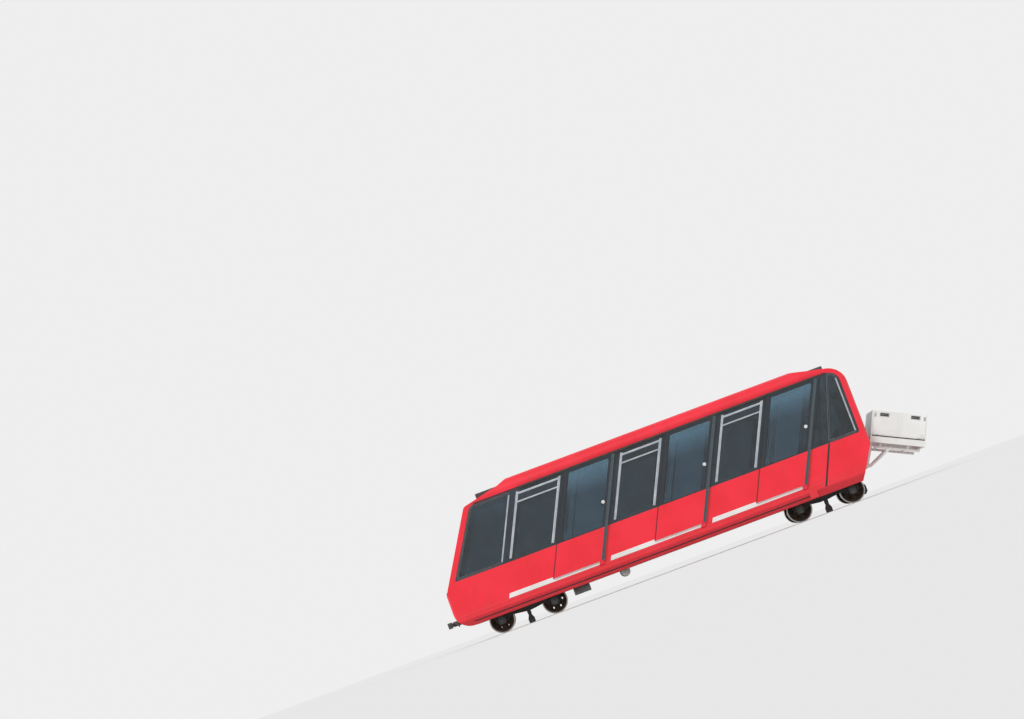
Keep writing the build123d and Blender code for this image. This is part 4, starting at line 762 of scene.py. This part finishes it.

# Hopper windows: an opaque black sheet over the opening of the tipping sash, painted shade of the dark gap
# behind it, glazing rubber over its bars, bright jambs and pull rail, and two catches on the transom
hopper = {
    "spans": ((1.625, 2.725), (4.19, 5.215), (6.68, 7.705)), "face": 1.1195,
    "edges": (0.046, 0.04, 0.054),  # how far in the jambs, the black shade sheet and the pull rail start
    "sash": (2.75, 2.955), "shadeSheetThick": 0.0022, "jamb": (1.552, 2.96),
    "coverZ": (1.537, 2.973), "coverIn": 0.004, "cover": (0.044, 0.003),
    "railZ": 2.905, "railFace": 1.1202,
    "catchShares": (0.22, 0.78), "catchZ": 2.727, "catchHalf": (0.03, 0.011), "catchThick": 0.004,
}
jamb = mirrored([(0.014, 0), (0.014, 0.006), (0.006, 0.0085)])
pullRail = [(-0.022, 0), (0.022, 0), (0.022, 0.004), (0.008, 0.007), (-0.014, 0.007), (-0.022, 0.004)]
catchKnob = [(0.009, 0.003), (0.009, 0.0075), (0.006, 0.0085), (0, 0.0088)]
for side, sign in sides:
    outward = (0, sign, 0)
    face = sign * hopper["face"]
    rails, sashes, catches = bmesh.new(), bmesh.new(), bmesh.new()
    for x0, x1 in hopper["spans"]:
        jambs, sash, pull = [(x0 + edge, x1 - edge) for edge in hopper["edges"]]
        low, high = hopper["sash"]
        corners = [leanedPoint(x, low, face) for x in sash] + [leanedPoint(x, high, face) for x in sash[::-1]]
        # A black enamel sheet, not glass: painted shade of the dark gap where the sash tips in
        addPlate(sashes, corners, (0, sign * hopper["shadeSheetThick"], 0), 0.0005)
        for z in hopper["coverZ"]:
            ends = [leanedPoint(x, z, sign * sideY) for x in (x0 + hopper["coverIn"], x1 - hopper["coverIn"])]
            addBead(sashes, ends, domed(*hopper["cover"]), outward)
        for x in jambs:
            addBead(rails, [leanedPoint(x, z, face) for z in hopper["jamb"]], jamb, outward)
        ends = [leanedPoint(x, hopper["railZ"], sign * hopper["railFace"]) for x in pull]
        addBead(rails, ends, pullRail, outward)
        wide, tall = hopper["catchHalf"]
        for share in hopper["catchShares"]:
            seat = leanedPoint(x0 + (x1 - x0) * share, hopper["catchZ"], sign * sideY)
            corners = cornersOf(seat, Vector((wide, 0, 0)), Vector((0, 0, tall)))
            addPlate(catches, corners, (0, sign * hopper["catchThick"], 0), 0.001)
            addTurned(catches, catchKnob, seat, outward, 18)
    finishPiece(rails, f"hopper_rails_{side}", "window_aluminium")
    # Black paint here is painted shade on the sheets, and the rubber's own colour on the covers
    finishPiece(sashes, f"hopper_sashes_{side}", "black_paint")
    finishPiece(catches, f"hopper_catches_{side}", "bright_steel")
print("hopper windows made")

# Head and tail lamps: a bright rim round each bowl
lamps = {"places": ((0.0, 1.02, -1), (bodyLength, 1.31, 1)), "y": 0.8, "radius": 0.083}
r = lamps["radius"]
rim = [
    (r + 0.016, 0.0), (r + 0.014, 0.006), (r + 0.004, 0.008), (r, 0.004), (r - 0.002, 0.0), (r + 0.016, 0.0),
]
rims = bmesh.new()
for x, z, way in lamps["places"]:
    for sign in (-1, 1):
        addTurned(rims, rim, sidePoint(x, z, sign * lamps["y"]), (way, 0, 0), 48)
finishPiece(rims, "lamp_rims", "bright_steel")
print("lamps made")

# Axle boxes: a domed cap over each axle end, held by four bolts
cap = {"faceY": 0.774, "radius": 0.082, "rim": 0.008, "boltCircle": 0.068, "bolts": 4, "boltSize": 0.02}
r = cap["radius"]
capShape = [
    (0.05, 0.0), (r, 0.0), (r, cap["rim"]), (r * 0.72, 0.011), (r * 0.62, 0.026), (r * 0.5, 0.032),
    (0, 0.034), (0, 0.006), (0.05, 0.004), (0.05, 0.0),
]
for name, numbers in (("lower", (1, 2)), ("upper", (3, 4))):
    caps = bmesh.new()
    for number in numbers:
        for sign in (-1, 1):
            centre = sidePoint(axles[f"wheelset_{number}"], axleZ, sign * cap["faceY"])
            addTurned(caps, capShape, centre, (0, sign, 0), 32)
            for k in range(cap["bolts"]):
                angle = math.tau * (k + 0.5) / cap["bolts"]
                spoke = Vector((math.cos(angle), 0, math.sin(angle))) * cap["boltCircle"]
                place = centre + spoke + Vector((0, sign * cap["rim"], 0))
                addBolt(caps, place, (0, sign, 0), cap["boltSize"])
    finishPiece(caps, f"axle_caps_{name}", "dark_steel", boxSteel, f"bogie_{name}")

# Underfloor: louvres of the equipment boxes, a drain boss at each end of the tank, the brake pipe along
# the left sill
louvre = {"x": -2.832, "faceY": 0.93, "deep": 0.012, "z": (0.279, 0.59), "wide": 0.322, "count": 11}
slat = [(-0.011, 0.0), (0.007, 0.0), (0.011, 0.0105), (0.006, 0.0105)]
low, high = louvre["z"]
for side, sign in sides:
    slats = bmesh.new()
    y = sign * (louvre["faceY"] - louvre["deep"])
    for k in range(louvre["count"]):
        z = low + (high - low) * (k + 0.5) / louvre["count"]
        ends = [Vector((louvre["x"] + way * louvre["wide"] / 2, y, z)) for way in (-1, 1)]
        addBead(slats, ends, slat, (0, sign, 0))
    finishPiece(slats, f"box_louvres_{side}", "grey_paint", boxSteel)
tank = {"x": 4.07, "z": 0.371, "endY": 0.86, "plug": 0.026}
boss = [(0.034, -0.002), (0.034, 0.01), (0.024, 0.014), (0.024, 0.022), (0, 0.024)]
fittings = bmesh.new()
for sign in (-1, 1):
    centre = sidePoint(tank["x"], tank["z"], sign * tank["endY"])
    addTurned(fittings, boss, centre, (0, sign, 0), 24)
    addBolt(fittings, centre + Vector((0, sign * 0.022, 0)), (0, sign, 0), tank["plug"])
finishPiece(fittings, "tank_fittings", "grey_paint", tankSteel)
pipe = {
    "z": 0.602, "y": 0.475, "radius": 0.011, "joints": (3.3, 4.02, 4.12, 6.9, 7.35),
    "clips": (3.55, 4.5, 5.3, 6.1, 6.9), "clipY": 0.45, "clipHalf": (0.014, 0.018), "clipThick": 0.04,
}
pipework = bmesh.new()
route = [sidePoint(x, pipe["z"], pipe["y"]) for x in pipe["joints"]]
addBead(pipework, route, ringed(pipe["radius"], 12), (0, 1, 0))
wide, tall = pipe["clipHalf"]
for x in pipe["clips"]:
    middle = sidePoint(x, pipe["z"], pipe["clipY"])
    corners = cornersOf(middle, Vector((wide, 0, 0)), Vector((0, 0, tall)))
    addPlate(pipework, corners, (0, pipe["clipThick"], 0), 0.003)
finishPiece(pipework, "brake_pipe", "dark_steel")
print("underfloor details made")

# Goods platform, plumb behind the upper end: grips in lined pockets, latches, the seal over the hinge
goods = {
    "corner": (10.425, 1.201), "length": 1.28, "height": 0.74, "faceY": 0.75,
    "gripShares": (0.22, 0.78), "gripDrop": 0.085, "gripRadius": 0.0045,
    "pocket": (0.2, 0.07), "pocketY": 0.7435, "linerIn": 0.003, "frameOut": 0.008,
    "latchIn": 0.07, "latchDrop": 0.1, "latchHalf": (0.024, 0.045), "latchThick": 0.004,
    "latchBar": (-0.035, 0.05), "screwAlong": 0.017, "screwUp": (-0.036, 0.036), "screwSize": 0.008,
    "sealUp": 0.156, "sealIn": 0.03, "seal": (0.026, 0.006),
}


def goodsPoint(along, up, y):  # measured level and plumb from the platform's lower corner
    x, z = goods["corner"]
    return sidePoint(x, z, y) + alongWay * along + upWay * up


for side, sign in sides:
    body = f"drop_side_body_{side}"
    outward = Vector((0, sign, 0))
    face = sign * goods["faceY"]
    metal, liners, rubber = bmesh.new(), bmesh.new(), bmesh.new()
    wide, tall = goods["pocket"]
    for share in goods["gripShares"]:
        up = goods["height"] - goods["gripDrop"]
        middle = goodsPoint(goods["length"] * share, up, sign * goods["pocketY"])
        edge = goods["linerIn"]
        back = middle - outward * edge
        corners = cornersOf(back, alongWay * (wide / 2 - edge), upWay * (tall / 2 - edge))
        addPlate(liners, corners, outward * 0.0015, 0.0004)
        reach = alongWay * wide * 0.4
        bends = ((-1, -0.002), (-1, 0.003), (1, 0.003), (1, -0.002))
        grip = [middle + reach * way + outward * out for way, out in bends]
        addBead(metal, grip, ringed(goods["gripRadius"]), upWay)
        edge = goods["frameOut"]
        front = middle + outward * 0.0065
        route = cornersOf(front, alongWay * (wide / 2 + edge), upWay * (tall / 2 + edge))
        addBead(metal, route, domed(0.014, 0.003), outward, closed=True)
    wide, tall = goods["latchHalf"]
    for along in (goods["latchIn"], goods["length"] - goods["latchIn"]):
        base = goodsPoint(along, goods["height"] - goods["latchDrop"], face)
        corners = cornersOf(base, alongWay * wide, upWay * tall)
        addPlate(metal, corners, outward * goods["latchThick"], 0.001)
        bar = base + outward * goods["latchThick"]
        addBead(metal, [bar + upWay * up for up in goods["latchBar"]], domed(0.018, 0.009), outward)
        for up in goods["screwUp"]:
            place = base + upWay * up + alongWay * goods["screwAlong"] + outward * 0.0035
            addBolt(metal, place, outward, goods["screwSize"])
    finishPiece(metal, f"drop_side_fittings_{side}", "bright_steel", body=body)
    finishPiece(liners, f"handle_pockets_{side}", "buffer_rubber", sealRubber, body)
    span = (goods["sealIn"], goods["length"] - goods["sealIn"])
    ends = [goodsPoint(along, goods["sealUp"], face) for along in span]
    addBead(rubber, ends, domed(*goods["seal"]), outward)
    finishPiece(rubber, f"drop_side_seal_{side}", "buffer_rubber", sealRubber)
print("goods platform fittings made")

# Inside: light strips under the roof, hand rails on hangers, an upright bar beside each door
inside = {
    "strip": (0.52, 3.285), "stripEnds": (2.55, 8.95), "rail": (0.44, 3.02), "railEnds": (2.7, 8.7),
    "railRadius": 0.016, "hangers": (2.9, 4.3, 5.7, 7.1, 8.5), "hangerTop": 3.299, "hangerRadius": 0.012,
    "barIn": 0.185, "bar": ((1.72, 1.09), (1.74, 1.03), (2.76, 1.03), (2.78, 1.09)), "barRadius": 0.017,
}
lightCover = mirrored([(0.07, 0), (0.06, 0.022), (0.03, 0.034)])
strips, rodwork, bars = bmesh.new(), bmesh.new(), bmesh.new()
for sign in (-1, 1):
    y, z = inside["strip"]
    addBead(strips, [sidePoint(x, z, sign * y) for x in inside["stripEnds"]], lightCover, (0, 0, -1))
    y, z = inside["rail"]
    ends = [sidePoint(x, z, sign * y) for x in inside["railEnds"]]
    addBead(rodwork, ends, ringed(inside["railRadius"], 14), acrossWay)
    for x in inside["hangers"]:
        ends = [sidePoint(x, up, sign * y) for up in (z, inside["hangerTop"])]
        addBead(rodwork, ends, ringed(inside["hangerRadius"], 12), acrossWay)
finishPiece(strips, "ceiling_lights", "lamp_lens", whiteNylon)
for start in doorStarts:
    for sign in (-1, 1):
        route = [leanedPoint(start + inside["barIn"], z, sign * y) for z, y in inside["bar"]]
        addBead(bars, route, ringed(inside["barRadius"], 14), alongWay)
finishPiece(bars, "door_grab_bars", "white_paint", whiteNylon)
finishPiece(rodwork, "ceiling_rails", "bright_steel")

# Bench cushions. A seat and a back are each blown up once by the cloth solver, as foam fills a sewn cover,
# and every cushion is made from one of them with its own creases, seams and piping.
cushion = {
    "voxel": 0.016, "pressure": 4.0, "shrink": 0.009, "cap": 0.016, "frames": 20, "thick": 0.07,
    "slack": 0.004, "channels": (-0.25, 0.0, 0.25), "channelDeep": 0.007, "channelWide": 0.011,
    "sitDeep": 0.005, "sitAside": 0.19, "wrinkleDeep": 0.0012,
    "seam": 0.72, "seamBand": 0.011, "seamSteps": 72, "seamGap": 0.012, "piping": 0.0055,
}


def evaluated(piece):  # its mesh with the modifiers applied
    depsgraph = bpy.context.evaluated_depsgraph_get()
    return bpy.data.meshes.new_from_object(piece.evaluated_get(depsgraph))


def blownCushion(name, wide, deep):
    shrink = cushion["shrink"]
    thick = cushion["thick"] - shrink
    slab = bmesh.new()  # a rounded slab, lying flat, its base at zero
    bmesh.ops.create_cube(slab, size=1.0)
    for vert in slab.verts:
        x, y, z = vert.co
        vert.co = Vector((x * (wide - 2 * shrink), y * (deep - 2 * shrink), (z + 0.5) * thick))
    bmesh.ops.bevel(slab, geom=list(slab.edges), offset=thick * 0.22, segments=3, affect="EDGES")
    data = bpy.data.meshes.new(name)
    slab.to_mesh(data)
    slab.free()
    trial = bpy.data.objects.new(name, data)
    scene.collection.objects.link(trial)
    remesh = trial.modifiers.new("evenMesh", "REMESH")
    remesh.mode = "VOXEL"
    remesh.voxel_size = cushion["voxel"]
    even = evaluated(trial)
    trial.modifiers.clear()
    trial.data = even
    start = [vert.co.copy() for vert in even.vertices]
    cloth = trial.modifiers.new("cover", "CLOTH")
    cloth.settings.use_pressure = True
    cloth.settings.uniform_pressure_force = cushion["pressure"]
    cloth.settings.effector_weights.gravity = 0.0
    cloth.point_cache.frame_end = cushion["frames"]
    for step in range(1, cushion["frames"] + 1):
        scene.frame_set(step)
    for vert, old, new in zip(even.vertices, start, evaluated(trial).vertices):
        moved = new.co - old
        vert.co = old + moved * min(1.0, cushion["cap"] / max(moved.length, 1e-6))
    trial.modifiers.clear()
    scene.frame_set(1)
    shape = bmesh.new()
    shape.from_mesh(even)
    bpy.data.objects.remove(trial)
    bmesh.ops.subdivide_edges(shape, edges=shape.edges, cuts=1, use_grid_fill=True, smooth=0.6)
    # It rests flat on its board, and stays inside the space that was kept for it
    for vert in shape.verts:
        vert.co.z = min(max(vert.co.z, 0.0), cushion["thick"] + cushion["slack"])
        vert.co.x = min(max(vert.co.x, -wide / 2), wide / 2)
        vert.co.y = min(max(vert.co.y, -deep / 2), deep / 2)
    return shape


def sewCushion(shape, wide, deep, turn, number):
    sewn = shape.copy()
    aside = cushion["sitAside"] * (1 if number % 2 else -1)
    for vert in sewn.verts:
        x, y, z = vert.co
        if z > cushion["thick"] * 0.45:
            lines = [(x - wide * share) / cushion["channelWide"] for share in cushion["channels"]]
            press = min(sum(math.exp(-line ** 2) for line in lines), 1.0)
            sat = math.exp(-((x - aside) ** 2 / 0.02 + (y + deep * 0.05) ** 2 / 0.012))
            wrinkle = math.sin(x * 31 + number * 1.7) * math.cos(y * 43 - number) * cushion["wrinkleDeep"]
            vert.co.z -= cushion["channelDeep"] * press + cushion["sitDeep"] * sat + wrinkle
    # Piping follows the widest line of the cover, where its top is sewn to its border
    seamZ = cushion["thick"] * cushion["seam"]
    near = [vert.co.copy() for vert in sewn.verts if abs(vert.co.z - seamZ) < cushion["seamBand"]]
    route = []
    for k in range(cushion["seamSteps"]):
        angle = math.tau * k / cushion["seamSteps"]
        way = Vector((math.cos(angle) / wide, math.sin(angle) / deep, 0)).normalized()
        far = max(near, key=lambda co: co.dot(way))
        point = Vector((far.x, far.y, seamZ))
        if not route or (point - route[-1]).length > cushion["seamGap"]:
            route.append(point)
    if (route[0] - route[-1]).length < cushion["seamGap"]:
        route.pop()
    addBead(sewn, route, ringed(cushion["piping"], 8), (0, 0, 1), closed=True)
    bmesh.ops.transform(sewn, matrix=turn, verts=sewn.verts)
    return sewn


# Each cushion's place is read from the frame: one loose part of the node is one cushion
blocks = bmesh.new()
blocks.from_mesh(frame["nodes"]["bench_cushions"].data)
bmesh.ops.remove_doubles(blocks, verts=blocks.verts, dist=1e-5)
left = set(blocks.verts)
places = []
while left:
    stack, group = [left.pop()], []
    while stack:
        vert = stack.pop()
        group.append(vert.co)
        for edge in vert.link_edges:
            other = edge.other_vert(vert)
            if other in left:
                left.remove(other)
                stack.append(other)
    spans = []
    for way in (alongWay, acrossWay, upWay):
        reaches = [co.dot(way) for co in group]
        spans.append((min(reaches), max(reaches)))
    places.append(spans)
blocks.free()
places.sort()
backDepth = 0.1  # a cushion that is shallower than this along the car is a back
shapes = {}
for number, (s, y, w) in enumerate(places, 1):
    wide = y[1] - y[0]
    isBack = s[1] - s[0] < backDepth
    kind = "back" if isBack else "seat"
    deep = (w[1] - w[0]) if isBack else (s[1] - s[0])
    if kind not in shapes:
        shapes[kind] = blownCushion(f"{kind}Form", wide, deep)
    middleY = acrossWay * (y[0] + y[1]) / 2
    if isBack:  # its base is against the board, and it faces down the line
        ways = (-acrossWay, upWay, -alongWay)
        origin = alongWay * s[1] + middleY + upWay * (w[0] + w[1]) / 2
    else:
        ways = (acrossWay, -alongWay, upWay)
        origin = alongWay * (s[0] + s[1]) / 2 + middleY + upWay * w[0]
    turn = Matrix.Translation(origin) @ Matrix(ways).transposed().to_4x4()
    sewn = sewCushion(shapes[kind], wide, deep, turn, number)
    pad = finishPiece(sewn, f"cushion_{kind}_{number}", "red_upholstery", smooth=60)
    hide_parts("bench_cushions")
for shape in shapes.values():
    shape.free()
print(len(places), "cushions made")

# Grab loops on the aisle corner of each bench back
grab = {
    "behind": 0.02, "above": 0.04, "radius": 0.011,
    "bends": ((0.05, -0.34), (-0.025, -0.34), (-0.035, -0.3), (-0.035, -0.04), (-0.025, 0), (0.05, 0)),
}
loops = bmesh.new()
for s, y, w in places:
    if s[1] - s[0] > backDepth:
        continue
    aisleY = y[0] if y[0] > 0 else y[1]
    sign = 1 if aisleY > 0 else -1
    top = alongWay * (s[1] + grab["behind"]) + acrossWay * aisleY + upWay * (w[1] + grab["above"])
    route = [top + acrossWay * sign * dy + upWay * up for dy, up in grab["bends"]]
    addBead(loops, route, ringed(grab["radius"], 12), alongWay)
finishPiece(loops, "seat_grab_loops", "bright_steel")

# Driver's desk: two control levers with knobs and a row of push buttons
desk = {"along": -0.2, "up": 1.685, "levers": ((-0.3, 0.25), (0.28, -0.15)), "leverHigh": 0.12}
deskButtons = {"first": -0.14, "step": 0.05, "count": 6}
leverKnob = [(0, -0.02), (0.014, -0.016), (0.021, 0), (0.014, 0.016), (0, 0.02)]
pushButton = [(0.014, -0.01), (0.014, 0.006), (0.011, 0.012), (0, 0.013)]
controls = bmesh.new()
deskTop = sidePoint(0, 0, 0) + alongWay * desk["along"] + upWay * desk["up"]
for y, tilt in desk["levers"]:
    foot = deskTop + acrossWay * y
    tip = foot + upWay * desk["leverHigh"] + alongWay * tilt * 0.2
    addBead(controls, [foot - upWay * 0.02, tip], ringed(0.008), acrossWay)
    addTurned(controls, leverKnob, tip, upWay, 18)
for k in range(deskButtons["count"]):
    y = deskButtons["first"] + deskButtons["step"] * k
    addTurned(controls, pushButton, deskTop + acrossWay * y, upWay, 16)
finishPiece(controls, "desk_controls", "bright_steel")
print("inside details made")

low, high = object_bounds()
